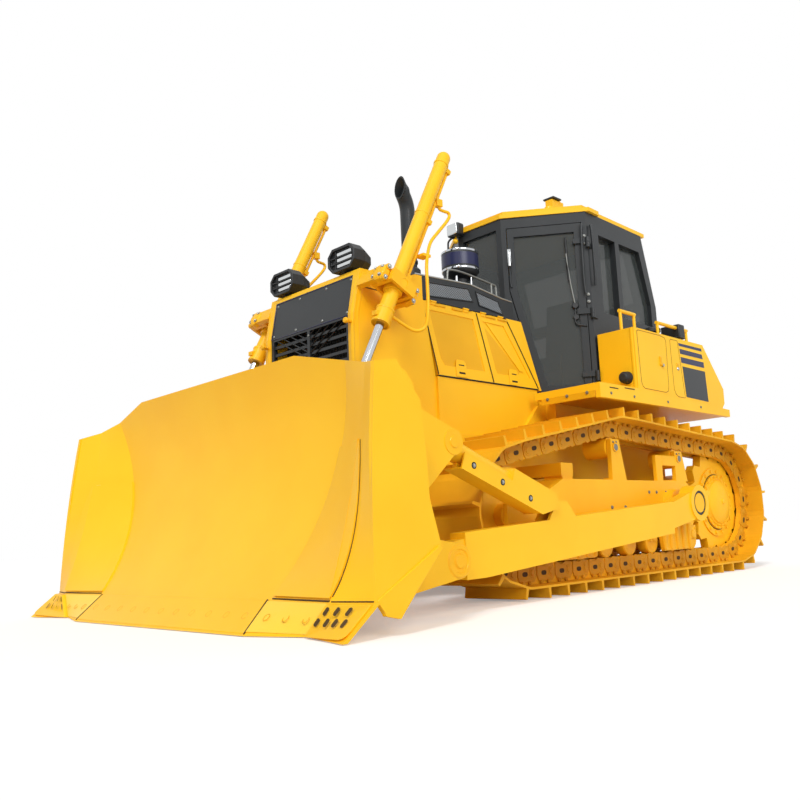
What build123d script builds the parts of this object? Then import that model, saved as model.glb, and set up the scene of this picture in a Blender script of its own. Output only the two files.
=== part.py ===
from build123d import *
import math
import os

# Crawler dozer of the 20 tonne class with a semi-U blade on two push arms.
# Millimetres. Z is up, the blade faces -Y and the machine's left side is +X.
# The origin is on the ground, in the middle of the machine's length and width.

# ---------------------------------------------------------------- driving sizes
track_gauge = 1880.0          # between the track centre lines
shoe_width = 510.0
shoe_count = 43
sprocket_y = 2120.0           # rear tumbler
tumbler_length = 2940.0       # sprocket centre to idler centre
sprocket_radius = 440.0       # to the chain's pin line
idler_radius = 370.0          # to the chain's pin line
link_height = 75.0            # pin line to the shoe's seat
link_inner = 48.0             # pin line to the rail face that rollers touch
shoe_plate = 14.0
grouser_height = 65.0
grouser_thick = 18.0
carrier_front_y = 381.0       # where the upper run is highest
carrier_front_pin_z = 1140.0
carrier_rear_y = 1340.0

hull_half = 545.0             # half width of the hull between the tracks
hull_bottom = 430.0
hood_half_top = 480.0
hood_half_low = 520.0
sheet = 6.0                   # folded steel sheet
plate = 20.0                  # heavy steel plate

trunnion_y = 1150.0           # push arms swing here
trunnion_z = 572.0
arm_centre_x = 1280.0
arm_width = 116.0
arm_pin_y = -1680.0           # blade's ball pins
arm_pin_z = 282.0

blade_half = 1700.0
blade_top_half = blade_half - 60    # the ends lean in towards the top
cab_floor_z = 1470.0
cab_roof_z = 3015.0

# ------------------------------------------------------------------- small helpers


def block(x0, x1, y0, y1, z0, z1):
    """A plain block between two corners."""
    size = (abs(x1 - x0), abs(y1 - y0), abs(z1 - z0))
    return Pos((x0 + x1) / 2, (y0 + y1) / 2, (z0 + z1) / 2) * Box(*size)


def side_plate(points, x0, x1):
    """A plate whose outline is given as (y, z) points, from x0 to x1."""
    wire = Polyline(*[(x0, y, z) for y, z in points], close=True)
    return extrude(make_face(wire), amount=x1 - x0, dir=(1, 0, 0))


def floor_plate(points, z0, z1):
    """A plate whose outline is given as (x, y) points, from z0 to z1."""
    wire = Polyline(*[(x, y, z0) for x, y in points], close=True)
    return extrude(make_face(wire), amount=z1 - z0, dir=(0, 0, 1))


def rod(start, end, radius):
    """A round bar between two points."""
    a = Vector(*start)
    b = Vector(*end)
    place = Plane(origin=a, z_dir=b - a)
    return place * Cylinder(radius, (b - a).length, align=(Align.CENTER, Align.CENTER, Align.MIN))


def tube(start, end, outer, inner):
    """A round tube between two points."""
    a = Vector(*start)
    b = Vector(*end)
    place = Plane(origin=a, z_dir=b - a)
    low = (Align.CENTER, Align.CENTER, Align.MIN)
    length = (b - a).length
    return place * (Cylinder(outer, length, align=low) - Cylinder(inner, length, align=low))


def disc(radius, x0, x1, y, z):
    """A round bar along X."""
    return rod((x0, y, z), (x1, y, z), radius)


def other_side(shape):
    """The same piece on the machine's right side."""
    return mirror(shape, about=Plane.YZ)


def both_sides(pieces):
    """The left side's pieces with the right side's, as one node of separate solids."""
    return Compound(children=list(pieces) + [other_side(piece) for piece in pieces])


def fuse(pieces):
    """One solid from pieces that share material."""
    whole = pieces[0]
    for piece in pieces[1:]:
        whole = whole + piece
    return whole


nodes = {}

# --------------------------------------------------------------- track and its path
half_gauge = track_gauge / 2
idler_y = sprocket_y - tumbler_length
chain_z = grouser_height + shoe_plate + link_height
sprocket_z = chain_z + sprocket_radius
idler_z = chain_z + idler_radius
track_out = half_gauge + shoe_width / 2
track_in = half_gauge - shoe_width / 2


def tangent_angle(centre, radius, point, side):
    """Angle at the circle of the tangent that reaches the point."""
    dy = point[0] - centre[0]
    dz = point[1] - centre[1]
    reach = math.hypot(dy, dz)
    return math.atan2(dz, dy) + side * math.acos(radius / reach)


idler_c = (idler_y, idler_z)
sprocket_c = (sprocket_y, sprocket_z)
crown = (carrier_front_y, carrier_front_pin_z)
idler_leave = tangent_angle(idler_c, idler_radius, crown, 1)
sprocket_meet = tangent_angle(sprocket_c, sprocket_radius, crown, -1)


def on_circle(centre, radius, angle):
    """The point of a circle at an angle."""
    return (centre[0] + radius * math.cos(angle), centre[1] + radius * math.sin(angle))


def chain_point(s):
    """Point and direction on the pin line, from under the sprocket, going forward."""
    legs = chain_legs
    s = s % chain_length
    for kind, length, data in legs:
        if s <= length:
            if kind == "line":
                (y0, z0), (y1, z1) = data
                t = s / length
                return (y0 + (y1 - y0) * t, z0 + (z1 - z0) * t)
            centre, radius, start, turn = data
            return on_circle(centre, radius, start + turn * s / length)
        s -= length
    return legs[0][2][0]


bottom_turn = -math.pi / 2
idler_turn = idler_leave - (bottom_turn + 2 * math.pi)
sprocket_turn = bottom_turn - sprocket_meet
idler_top = on_circle(idler_c, idler_radius, idler_leave)
sprocket_top = on_circle(sprocket_c, sprocket_radius, sprocket_meet)
chain_legs = [
    ("line", tumbler_length, ((sprocket_y, chain_z), (idler_y, chain_z))),
    ("arc", idler_radius * abs(idler_turn), (idler_c, idler_radius, bottom_turn, idler_turn)),
    ("line", math.dist(idler_top, crown), (idler_top, crown)),
    ("line", math.dist(crown, sprocket_top), (crown, sprocket_top)),
    ("arc", sprocket_radius * abs(sprocket_turn),
     (sprocket_c, sprocket_radius, sprocket_meet, sprocket_turn)),
]
chain_length = sum(leg[1] for leg in chain_legs)
shoe_pitch = chain_length / shoe_count
pins = [chain_point(i * shoe_pitch) for i in range(shoe_count)]


def offset_link(i, along, out):
    """A point on link i: along is 0 to 1 from pin to pin, out is outward."""
    y0, z0 = pins[i % shoe_count]
    y1, z1 = pins[(i + 1) % shoe_count]
    length = math.hypot(y1 - y0, z1 - z0)
    ty = (y1 - y0) / length
    tz = (z1 - z0) / length
    # the chain runs forward below, so outward is to the left of travel
    return (y0 + ty * length * along - tz * out, z0 + tz * length * along + ty * out)


def track_shoes():
    """Closed ring of shoe plates with one grouser each, over the full width."""
    outer = []
    inner = []
    plate_out = link_height + shoe_plate
    tip_out = plate_out + grouser_height
    bar = grouser_thick / shoe_pitch
    for i in range(shoe_count):
        outer.append(offset_link(i, 0.03, plate_out))
        outer.append(offset_link(i, 0.03, tip_out))
        outer.append(offset_link(i, 0.03 + bar, tip_out))
        outer.append(offset_link(i, 0.03 + bar * 1.4, plate_out))
        outer.append(offset_link(i, 0.985, plate_out))
        inner.append(offset_link(i, 0.03, link_height))
        inner.append(offset_link(i, 0.985, link_height))
    ring = make_face(Polyline(*[(track_in, y, z) for y, z in outer], close=True))
    hole = make_face(Polyline(*[(track_in, y, z) for y, z in inner], close=True))
    return extrude(ring - hole, amount=shoe_width, dir=(1, 0, 0))


def track_links():
    """The two rows of links inside the shoes, as two rails."""
    outer = []
    inner = []
    seat = link_height + shoe_plate / 2
    for i in range(shoe_count):
        outer.append(offset_link(i, 0.1, seat))
        outer.append(offset_link(i, 0.9, seat))
        inner.append(offset_link(i, 0.12, -link_inner))
        inner.append(offset_link(i, 0.88, -link_inner))
    ring = make_face(Polyline(*[(0, y, z) for y, z in outer], close=True))
    hole = make_face(Polyline(*[(0, y, z) for y, z in inner], close=True))
    rail = ring - hole
    rails = []
    for x0 in (half_gauge - link_row_out, half_gauge + link_row_in):
        rails.append(Pos(x0, 0, 0) * extrude(rail, amount=link_row_out - link_row_in, dir=(1, 0, 0)))
    return rails


link_row_out = 98.0
link_row_in = 52.0


def track():
    """One whole track as a single solid."""
    return fuse([track_shoes()] + track_links())


nodes["track_left"] = track()
nodes["track_right"] = other_side(nodes["track_left"])

# ------------------------------------------------------ track frame, idler, rollers
frame_in = 800.0
frame_out = 1080.0
frame_low = 400.0
frame_high = 762.0
roller_radius = 92.0
roller_z = chain_z + link_inner + roller_radius
roller_count = 7
carrier_radius = 78.0
wheel_gap = 0.3               # wheels stand this far from the rails
fork_thick = 32.0
trunnion_radius = 75.0


def track_frame():
    """The long roller frame with its trunnion shaft for the push arm."""
    nose_y = idler_y + 345
    tail_y = sprocket_y - 560
    body = side_plate([
        (nose_y, frame_low + 70), (nose_y + 90, frame_low), (tail_y - 80, frame_low),
        (tail_y, frame_low + 80), (tail_y, frame_high - 90), (tail_y - 130, frame_high),
        (nose_y + 200, frame_high), (nose_y, frame_high - 90),
    ], frame_in, frame_out)
    shaft = disc(trunnion_radius, frame_out - 40, arm_centre_x + arm_width / 2 - 4, trunnion_y, trunnion_z)
    collar = disc(trunnion_radius + 45, frame_out - 40, track_out - 40, trunnion_y, trunnion_z)
    fork = [
        block(x, x + fork_thick, idler_y - 60, nose_y + 60, idler_z - 75, idler_z + 75)
        for x in (half_gauge - 102 - fork_thick, half_gauge + 102)
    ]
    pieces = [body, shaft, collar] + fork
    # guards that hang beside the bottom rollers, at both ends of the frame
    for y0, y1 in ((nose_y + 40, nose_y + 560), (tail_y - 620, tail_y - 120)):
        for x in (half_gauge - 150, half_gauge + 120):
            pieces.append(side_plate([
                (y0, frame_low + 20), (y1, frame_low + 20), (y1 - 40, roller_z - 78),
                (y0 + 40, roller_z - 78)], x, x + 30))
    return fuse(pieces)


nodes["track_frames"] = both_sides([track_frame()])


def idler():
    """Front idler wheel with its dished web and axle block."""
    # the links are chords of the pin circle, so their rail face runs inside it
    rim_radius = math.sqrt(idler_radius ** 2 - (shoe_pitch / 2) ** 2) - link_inner - wheel_gap
    rim = disc(rim_radius, half_gauge - 98, half_gauge + 98, idler_y, idler_z)
    guide = disc(rim_radius + 28, half_gauge - 44, half_gauge + 44, idler_y, idler_z)
    whole = rim + guide
    for side in (-1, 1):
        face = half_gauge + side * 98
        whole = whole - disc(rim_radius - 45, face, face - side * 62, idler_y, idler_z)
    return whole + disc(82, half_gauge - 102, half_gauge + 102, idler_y, idler_z)


nodes["idlers"] = both_sides([idler()])

tooth_count = 13


def sprocket():
    """Toothed rim, hub drum and the domed final drive cover."""
    root = sprocket_radius - 62
    tip = sprocket_radius + 8
    outline = []
    for i in range(tooth_count):
        base = 2 * math.pi * i / tooth_count
        for turn, radius in ((-0.30, root), (-0.09, tip), (0.09, tip), (0.30, root)):
            angle = base + turn * 2 * math.pi / tooth_count * 1.6
            outline.append(on_circle(sprocket_c, radius, angle))
    teeth = side_plate(outline, half_gauge - 36, half_gauge + 36)
    drum = disc(300, half_gauge - 120, half_gauge + 49, sprocket_y, sprocket_z)
    cover = disc(238, half_gauge + 49, half_gauge + 66, sprocket_y, sprocket_z)
    dome = Plane(origin=(half_gauge + 66, sprocket_y, sprocket_z), z_dir=(1, 0, 0)) * Cone(
        215, 120, 36, align=(Align.CENTER, Align.CENTER, Align.MIN))
    boss = disc(62, half_gauge + 66, half_gauge + 112, sprocket_y, sprocket_z)
    inner_case = disc(270, hull_half, half_gauge - 120, sprocket_y, sprocket_z)
    return fuse([teeth, drum, cover, dome, boss, inner_case])


nodes["final_drives"] = both_sides([sprocket()])


def upper_rail_z(y):
    """Height of the upper run's pin line over a place."""
    if y < carrier_front_y:
        t = (y - idler_top[0]) / (crown[0] - idler_top[0])
        return idler_top[1] + t * (crown[1] - idler_top[1])
    t = (y - crown[0]) / (sprocket_top[0] - crown[0])
    return crown[1] + t * (sprocket_top[1] - crown[1])


def rollers():
    """Bottom rollers on one bar each, and two carrier rollers on brackets."""
    pieces = []
    first = idler_y + 430
    last = sprocket_y - 620
    step = (last - first) / (roller_count - 1)
    for i in range(roller_count):
        y = first + i * step
        pieces.append(fuse([
            disc(roller_radius - wheel_gap, half_gauge - 98, half_gauge - 30, y, roller_z),
            disc(roller_radius - wheel_gap, half_gauge + 30, half_gauge + 98, y, roller_z),
            disc(roller_radius - 30, half_gauge - 112, half_gauge + 112, y, roller_z),
            block(half_gauge - 112, half_gauge - 100, y - 40, y + 40, roller_z - 30, frame_low),
            block(half_gauge + 100, half_gauge + 112, y - 40, y + 40, roller_z - 30, frame_low),
        ]))
    return pieces


def carrier(y):
    """One carrier roller with its stand on the roller frame."""
    z = upper_rail_z(y) - link_inner - carrier_radius - 6
    wheel_part = disc(carrier_radius, half_gauge - 98, half_gauge + 98, y, z)
    axle = disc(34, half_gauge - 98, half_gauge + 150, y, z)
    stand = side_plate([
        (y - 60, frame_high), (y + 130, frame_high), (y + 62, z + 60), (y - 52, z + 60),
    ], half_gauge + 104, half_gauge + 139)
    foot = block(half_gauge + 60, half_gauge + 139, y - 60, y + 130, frame_high, frame_high + 16)
    return fuse([wheel_part, axle, stand, foot])


nodes["bottom_rollers"] = both_sides(rollers())
nodes["carrier_rollers"] = both_sides([carrier(carrier_front_y + 20), carrier(carrier_rear_y)])

# ------------------------------------------------------------------------- hull
hull_front = -1180.0
hull_rear = 2060.0
hull_top = 1380.0
hull_rear_top = 1240.0
deck_z = 1115.0


def main_frame():
    """Hull with a rising nose, a deck, the cab's bed and a slot for the equalizer bar."""
    outline = [
        (hull_front, 700), (hull_front + 260, hull_bottom + 20), (hull_rear - 300, hull_bottom),
        (hull_rear, 640), (hull_rear, hull_rear_top), (1700, hull_top), (200, hull_top), (-60, deck_z),
        (hull_front, deck_z),
    ]
    hull = side_plate(outline, -hull_half, hull_half)
    bed = block(-500, 500, 262, 1700, hull_top - 1, cab_floor_z)
    side = hull_half + 55
    slot = block(-side, side, equalizer_y - 82, equalizer_y + 82,
                 equalizer_z - 12, equalizer_z + equalizer_deep)
    return hull + bed - slot


equalizer_y = -140.0
equalizer_z = 790.0
equalizer_deep = 90.0
nodes["main_frame"] = main_frame()
nodes["belly_guard"] = side_plate([
    (hull_front, 700), (hull_front + 260, hull_bottom + 20), (hull_rear - 300, hull_bottom),
    (hull_rear - 300, hull_bottom - plate), (hull_front + 255, hull_bottom + 20 - plate),
    (hull_front - 12, 684),
], -hull_half + 60, hull_half - 60)

pivot_y = sprocket_y - 640
nodes["pivot_shafts"] = Compound(children=[
    rod((side * hull_half, pivot_y, 640), (side * frame_in, pivot_y, 640), 85) for side in (-1, 1)
])
nodes["equalizer_bar"] = fuse(
    [block(-frame_out + 60, frame_out - 60, equalizer_y - 70, equalizer_y + 70, equalizer_z,
           equalizer_z + equalizer_deep)]
    + [block(side * (frame_in + 60), side * (frame_out - 60), equalizer_y - 60, equalizer_y + 60,
             frame_high, equalizer_z + 5) for side in (-1, 1)])
nodes["engine_block"] = block(-330, 330, -860, -80, deck_z, 1890)

# ----------------------------------------------------------- hood and radiator guard
guard_front = -1530.0
guard_half = 500.0
guard_top = 2160.0
mask_low = 1130.0
mask_half = 435.0
mask_top = 2126.0
mask_fold = 1846.0
cover_low = 1516.0
cover_top = 2050.0
hood_low = 2056.0
hood_front = -976.0
bay_top = 1508.0
cowl_y = 228.0


def radiator_guard():
    """Welded tower that carries the mask, the lamps and the lift cylinders."""
    outline = [
        (guard_front - 66, 780), (guard_front - 66, 1850), (guard_front - 6, guard_top),
        (-1180, guard_top), (-1040, 2215), (hood_front, 2215), (hood_front, hood_low), (-880, bay_top),
        (-880, deck_z), (hull_front, deck_z), (hull_front, 780),
    ]
    shell = side_plate(outline, -guard_half, guard_half)
    hollow = side_plate([
        (guard_front - 200, mask_low), (guard_front - 200, 2128), (-1080, 2128), (-1080, mask_low),
    ], -mask_half, mask_half)
    core = block(-mask_half, mask_half, -1330, -1230, mask_low - 2, 2130)
    return shell - hollow + core


nodes["radiator_guard"] = radiator_guard()


def front_mask():
    """Dark panel above a barred mesh grille, in one frame."""
    top_y = guard_front - 8
    fold_y = guard_front - 58
    panel = side_plate([(top_y, mask_top), (fold_y, mask_fold), (fold_y + 26, mask_fold),
                        (top_y + 26, mask_top)], -mask_half, mask_half)
    frame = block(-mask_half, mask_half, fold_y, fold_y + 30, mask_low, mask_fold)
    for x0, x1 in ((-mask_half + 28, -14), (14, mask_half - 28)):
        frame = frame - block(x0, x1, fold_y - 10, fold_y + 40, mask_low + 30, mask_fold - 14)
    pieces = [panel, frame]
    bar_count = 12
    step = (mask_fold - mask_low - 60) / bar_count
    for i in range(bar_count):
        z = mask_low + 46 + i * step
        pieces.append(block(-mask_half + 20, mask_half - 20, fold_y + 8, fold_y + 24, z, z + 20))
    return fuse(pieces)


nodes["front_mask"] = front_mask()


def hood_top():
    """Hood roof over the side covers, narrowing to the cab, with two stack pads."""
    side = side_plate([
        (hood_front, hood_low), (hood_front, 2250), (-394, 2280), (-20, 2230), (cowl_y, 2222),
        (cowl_y, hood_low),
    ], -hood_half_top + 50, hood_half_top - 50)
    ledge = block(-hood_half_top, hood_half_top, hood_front, -54, hood_low, hood_low + 18)
    deck = side_plate([
        (hood_front, 2249), (hood_front, 2268), (-394, 2298), (-20, 2248), (150, 2240), (150, 2200),
        (-394, 2270),
    ], -360, 360)
    corner = floor_plate([
        (hood_half_top - 50, 100), (hood_half_top - 40, 300), (260, 300), (262, cowl_y),
    ], 2000, 2400)
    pads = block(45, 215, -850, -650, 2200, 2290) + block(35, 205, -240, -70, 2200, 2290)
    whole = fuse([side, ledge, deck, pads])
    return whole - corner - other_side(corner)


nodes["hood_top"] = hood_top()

hinge_x = hood_half_top + 8
hinge_z = hood_low - 3
hinge_radius = 7.0


def knuckles(places, half):
    """Short hinge barrels along the covers' hinge line."""
    pieces = []
    for y in places:
        pieces.append(rod((hinge_x, y - half, hinge_z), (hinge_x, y + half, hinge_z), hinge_radius))
        pieces.append(block(hinge_x - 16, hinge_x, y - half + 2, y + half - 2, cover_top - 20, cover_top))
    return pieces


def cover(outline, places):
    """Gull-wing side cover of the engine bay, hinged along its upper edge."""
    lean = math.degrees(math.atan2(hood_half_low - hood_half_top, cover_top - cover_low))
    flat = side_plate(outline, hood_half_top - 30, hood_half_top)
    top_front, top_rear, low_rear, low_front = outline
    pocket = side_plate([
        (top_front[0] + 62, cover_top - 62), (top_rear[0] - 36, cover_top - 62),
        (low_rear[0] - 82, cover_low + 78), (low_front[0] + 46, cover_low + 78),
    ], hood_half_top - 7, hood_half_top + 5)
    top_edge = Axis((hood_half_top, 0, cover_top), (0, 1, 0))
    return fuse([(flat - pocket).rotate(top_edge, -lean)] + knuckles(places, 28))


front_cover = [(-966, cover_top), (-408, cover_top), (-292, cover_low), (-868, cover_low)]
rear_cover = [(-400, cover_top), (-62, cover_top), (244, cover_low), (-284, cover_low)]
front_hinges = (-860, -520)
rear_hinges = (-330, -130)
nodes["side_cover_front_left"] = cover(front_cover, front_hinges)
nodes["side_cover_rear_left"] = cover(rear_cover, rear_hinges)
nodes["side_cover_front_right"] = other_side(nodes["side_cover_front_left"])
nodes["side_cover_rear_right"] = other_side(nodes["side_cover_rear_left"])

# the hood's own halves of the hinges stand beside the covers' halves
for y in front_hinges + rear_hinges:
    for side in (-1, 1):
        stub = rod((side * hinge_x, y + 28.5, hinge_z), (side * hinge_x, y + 60, hinge_z), hinge_radius)
        leaf = block(side * (hinge_x - 10), side * hinge_x, y + 30, y + 58, hinge_z, hood_low + 10)
        nodes["hood_top"] = fuse([nodes["hood_top"], stub, leaf])


def engine_bay_sides():
    """Lower side panels of the engine bay, standing on the hull's deck."""
    bay = side_plate([
        (-880, deck_z), (-880, bay_top), (cowl_y, bay_top), (cowl_y, hull_top), (200, hull_top),
        (-60, deck_z),
    ], -hood_half_low, hood_half_low)
    return bay - block(-hood_half_low + 20, hood_half_low - 20, -860, 180, 1000, 1600)


nodes["engine_bay_sides"] = engine_bay_sides()


def cowl():
    """Bulkhead between the engine bay and the cab, flush with the covers' rear edge."""
    low = [(520, 252), (520, 286), (262, cowl_y), (-262, cowl_y), (-520, 286), (-520, 252), (-470, 252),
           (-300, 200), (300, 200), (470, 252)]
    high = [(480, -54), (480, 130), (262, cowl_y), (-262, cowl_y), (-480, 130), (-480, -54), (-430, -54),
            (-300, 100), (300, 100), (430, -54)]
    sections = []
    for points, z in ((low, bay_top), (high, hood_low)):
        sections.append(make_face(Polyline(*[(x, y, z) for x, y in points], close=True)))
    return loft(sections, ruled=True)


nodes["cowl"] = cowl()

stack_base = 2290.0


def exhaust():
    """Upright exhaust pipe that bends forward at its mouth."""
    foot = (130, -730, stack_base)
    bend = (130, -730, 2810)
    mouth = (130, -812, 2985)
    pipe = fuse([rod((130, -730, stack_base), (130, -730, 2400), 82), rod(foot, bend, 54),
                 Pos(*bend) * Sphere(54), rod(bend, mouth, 54)])
    return pipe - rod((130, -765, 2888), (130, -816, 2994), 48)


nodes["exhaust_stack"] = exhaust()
nodes["air_precleaner"] = fuse([
    rod((120, -155, stack_base), (120, -155, 2490), 62),
    rod((120, -155, 2470), (120, -155, 2640), 150),
    Pos(120, -155, 2640) * Cone(150, 96, 36, align=(Align.CENTER, Align.CENTER, Align.MIN)),
])

# ---------------------------------------------------------------------------- cab
cab_front_half = 245.0
cab_front_y = 235.0
cab_wide_half = 810.0
cab_wide_y = 660.0
cab_rear_half = cab_wide_half - 30
cab_rear_y = 1740.0
cab_slope_z = 2371.0          # the rear window leans forward above this height
cab_wall = 60.0
cab_floor = 40.0
cab_clear = 6.0
sill_z = 1492.0
header_z = 2925.0


def cab_outline(inset):
    """Six-sided plan of the cab, moved inward by the inset."""
    grow = inset * 0.42
    return [
        (-cab_front_half + grow, cab_front_y + inset), (cab_front_half - grow, cab_front_y + inset),
        (cab_wide_half - inset, cab_wide_y + grow), (cab_rear_half - inset, cab_rear_y - inset),
        (-cab_rear_half + inset, cab_rear_y - inset), (-cab_wide_half + inset, cab_wide_y + grow),
    ]


wall_dx = cab_wide_half - cab_front_half
wall_dy = cab_wide_y - cab_front_y
wall_length = math.hypot(wall_dx, wall_dy)
# a plane on the left door wall: local x runs from the front pillar back, local y is up
door_plane = Plane(origin=(cab_front_half, cab_front_y, 0), x_dir=(wall_dx, wall_dy, 0),
                   z_dir=(wall_dy, -wall_dx, 0))
door_thick = 44.0


def door_outline(shrink):
    """Door outline on its wall: slanted at the lower front, shrunk on all sides."""
    return [
        (245 + shrink, sill_z + shrink), (wall_length - 40 - shrink, sill_z + shrink),
        (wall_length - 40 - shrink, header_z - shrink), (42 + shrink, header_z - shrink),
        (42 + shrink, 2380 + shrink),
    ]


def wall_cut(points, depth_in, depth_out):
    """Solid on the door wall from depth_in behind its face to depth_out before it."""
    face = make_face(Polyline(*[(x, y, -depth_in) for x, y in points], close=True))
    return door_plane * extrude(face, amount=depth_in + depth_out, dir=(0, 0, 1))


rear_lean = [(cab_rear_y + 300, cab_slope_z), (cab_rear_y, cab_slope_z), (1560, cab_roof_z + 20),
             (cab_rear_y + 300, cab_roof_z + 20)]
side_panes = [
    [(837, 2175), (1098, 2175), (1098, 2850), (837, 2850)],
    [(1164, 2175), (1650, 2175), (1650, 2380), (1510, 2850), (1164, 2850)],
]
rear_pane = (-640, 640, 2050, 2340)
front_pane = (-190, 190, 1900, 2930)


def cab_shell():
    """Hollow cab with door openings, side, rear and front windows."""
    outer = floor_plate(cab_outline(0), cab_floor_z, cab_roof_z)
    inner = floor_plate(cab_outline(cab_wall), cab_floor_z + cab_floor, cab_roof_z + 10)
    behind = side_plate(rear_lean, -1000, 1000)
    behind_in = Pos(0, -cab_wall, 0) * behind
    shell = (outer - behind) - (inner - behind_in)
    opening = wall_cut(door_outline(0), 200, 50)
    shell = shell - opening - other_side(opening)
    for pane in side_panes:
        shell = shell - side_plate(pane, -1000, 1000)
    x0, x1, z0, z1 = front_pane
    shell = shell - block(x0, x1, cab_front_y - 50, cab_front_y + 150, z0, z1)
    x0, x1, z0, z1 = rear_pane
    shell = shell - block(x0, x1, cab_rear_y - 150, cab_rear_y + 50, z0, z1)
    upper = side_plate([(1560, 2440), (1800, 2440), (1700, 2900), (1400, 2900)], -600, 600)
    return shell - upper


nodes["cab_shell"] = cab_shell()


def cab_roof():
    """Roof cap with a raised crown and two lifting stands."""
    outline = [
        (-250, cab_front_y - 12), (250, cab_front_y - 12), (cab_wide_half + 28, cab_wide_y + 14),
        (cab_wide_half + 22, cab_wide_y + 170), (cab_wide_half - 8, cab_wide_y + 190),
        (cab_rear_half + 5, 1632), (-cab_rear_half - 5, 1632), (-cab_wide_half + 8, cab_wide_y + 190),
        (-cab_wide_half - 22, cab_wide_y + 170),
        (-cab_wide_half - 28, cab_wide_y + 14),
    ]
    base = floor_plate(outline, cab_roof_z, cab_roof_z + 34)
    crown_part = floor_plate([(x * 0.9, 940 + (y - 940) * 0.9) for x, y in outline],
                             cab_roof_z + 30, cab_roof_z + 84)
    stands = []
    for x in (-500, 500):
        stands.append(block(x - 36, x + 36, 590, 750, cab_roof_z + 60, 3196))
        stands.append(block(x - 14, x + 14, 600, 740, 3190, 3220))
    return fuse([base, crown_part] + stands)


nodes["cab_roof"] = cab_roof()

glass_thick = 8.0


def cab_glass():
    """Fixed panes of the cab, each set in its opening."""
    panes = []
    for pane in side_panes:
        sheet_x = cab_rear_half - 36
        panes.append(side_plate(pane, sheet_x - glass_thick, sheet_x))
        panes.append(side_plate(pane, -sheet_x, -sheet_x + glass_thick))
    x0, x1, z0, z1 = front_pane
    panes.append(block(x0, x1, cab_front_y + 26, cab_front_y + 26 + glass_thick, z0, z1))
    x0, x1, z0, z1 = rear_pane
    panes.append(block(x0, x1, cab_rear_y - 26 - glass_thick, cab_rear_y - 26, z0, z1))
    lean = Vector(0, 1560 - cab_rear_y, cab_roof_z + 20 - cab_slope_z).normalized()
    low = Vector(0, cab_rear_y, cab_slope_z)
    points = []
    for z in (2440, 2900):
        t = (z - low.Z) / lean.Z
        points.append((low.Y + lean.Y * t - 22, z))
    a, b = points
    panes.append(side_plate([a, b, (b[0] - glass_thick, b[1]), (a[0] - glass_thick, a[1])], -600, 600))
    return panes


nodes["cab_glass"] = Compound(children=cab_glass())


def pane_outline():
    """Outline of the door's pane."""
    return [
        (245 + 62, sill_z + 70), (wall_length - 105, sill_z + 70), (wall_length - 105, header_z - 80),
        (42 + 60, header_z - 80), (42 + 60, 2400),
    ]


door_hinge_x = cab_wide_half + 12
door_hinge_y = cab_wide_y - 16
door_hinges = (1640, 2160, 2760)
door_pin = 11.0


def cab_door():
    """Framed door with one tall pane opening and three hinge arms."""
    body = wall_cut(door_outline(cab_clear), door_thick, 0)
    body = body - wall_cut(pane_outline(), door_thick + 20, 20)
    pieces = [body]
    hinge = (door_hinge_x, door_hinge_y)
    for z in door_hinges:
        pad = (wall_length - 120, wall_length - 52)
        reach = (wall_length - 60, wall_length - 12)
        for (x0, x1), lift in ((pad, 0), (reach, 6)):
            pieces.append(wall_cut([(x0, z - 22), (x1, z - 22), (x1, z + 22), (x0, z + 22)], -lift, 18))
        pieces.append(rod((*hinge, z - 22), (*hinge, z + 22), door_pin + 8))
    return fuse(pieces) - rod((*hinge, 1400), (*hinge, 3000), door_pin + 0.3)


nodes["cab_door_left"] = cab_door()
nodes["cab_door_right"] = other_side(nodes["cab_door_left"])
nodes["door_glass_left"] = wall_cut(pane_outline(), 26, -26 + glass_thick)
nodes["door_glass_right"] = other_side(nodes["door_glass_left"])


def door_posts():
    """Hinge pins of the door with their brackets on the pillar."""
    pieces = []
    hinge = (door_hinge_x, door_hinge_y)
    for z in door_hinges:
        pieces.append(rod((*hinge, z - 62), (*hinge, z + 22), door_pin))
        pieces.append(rod((*hinge, z - 62), (*hinge, z - 23), door_pin + 8))
        pieces.append(block(cab_wide_half - 30, door_hinge_x, door_hinge_y + 4, cab_wide_y + 60,
                            z - 60, z - 24))
    return pieces


for post_side in (lambda shape: shape, other_side):
    nodes["cab_shell"] = fuse([nodes["cab_shell"]] + [post_side(p) for p in door_posts()])

nodes["operator_seat"] = fuse([
    block(-260, 260, 940, 1400, cab_floor_z + cab_floor, 1800),
    block(-260, 260, 930, 1440, 1799, 1930),
    side_plate([(1370, 1900), (1480, 1900), (1560, 2560), (1470, 2560)], -245, 245),
])
nodes["cab_console"] = Compound(children=[
    block(300, 560, 900, 1400, cab_floor_z + cab_floor, 2010),
    block(-560, -300, 900, 1400, cab_floor_z + cab_floor, 2010),
    block(-180, 180, 330, 420, cab_floor_z + cab_floor, 1880),
])

# ------------------------------------------------------------- fenders and tanks
fender_z = 1455.0
fender_in = hull_half + 60
fender_rear = 2140.0
fender_knee = 640.0


def deck_top(y):
    """Height of the fender's deck, which falls behind its knee."""
    return fender_z - (y - fender_knee) * 55 / (fender_rear - fender_knee)


def fender():
    """Platform over the track with a turned-down outer lip."""
    deck = side_plate([(90, fender_z - 55), (90, fender_z), (fender_knee, fender_z),
                       (fender_rear, deck_top(fender_rear)), (fender_rear, 1345)], fender_in, track_out)
    lip = side_plate([(90, fender_z - 110), (90, fender_z), (fender_knee, fender_z),
                      (fender_rear, deck_top(fender_rear)), (fender_rear, 1336),
                      (fender_knee, fender_z - 110)], track_out - 40, track_out)
    leg = block(hull_half, fender_in + 30, 300, 1680, 1250, 1390)
    web = block(fender_in, fender_in + 30, 300, 1680, 1380, 1410)
    return fuse([deck, lip, leg, web])


nodes["fenders"] = both_sides([fender()])

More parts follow.
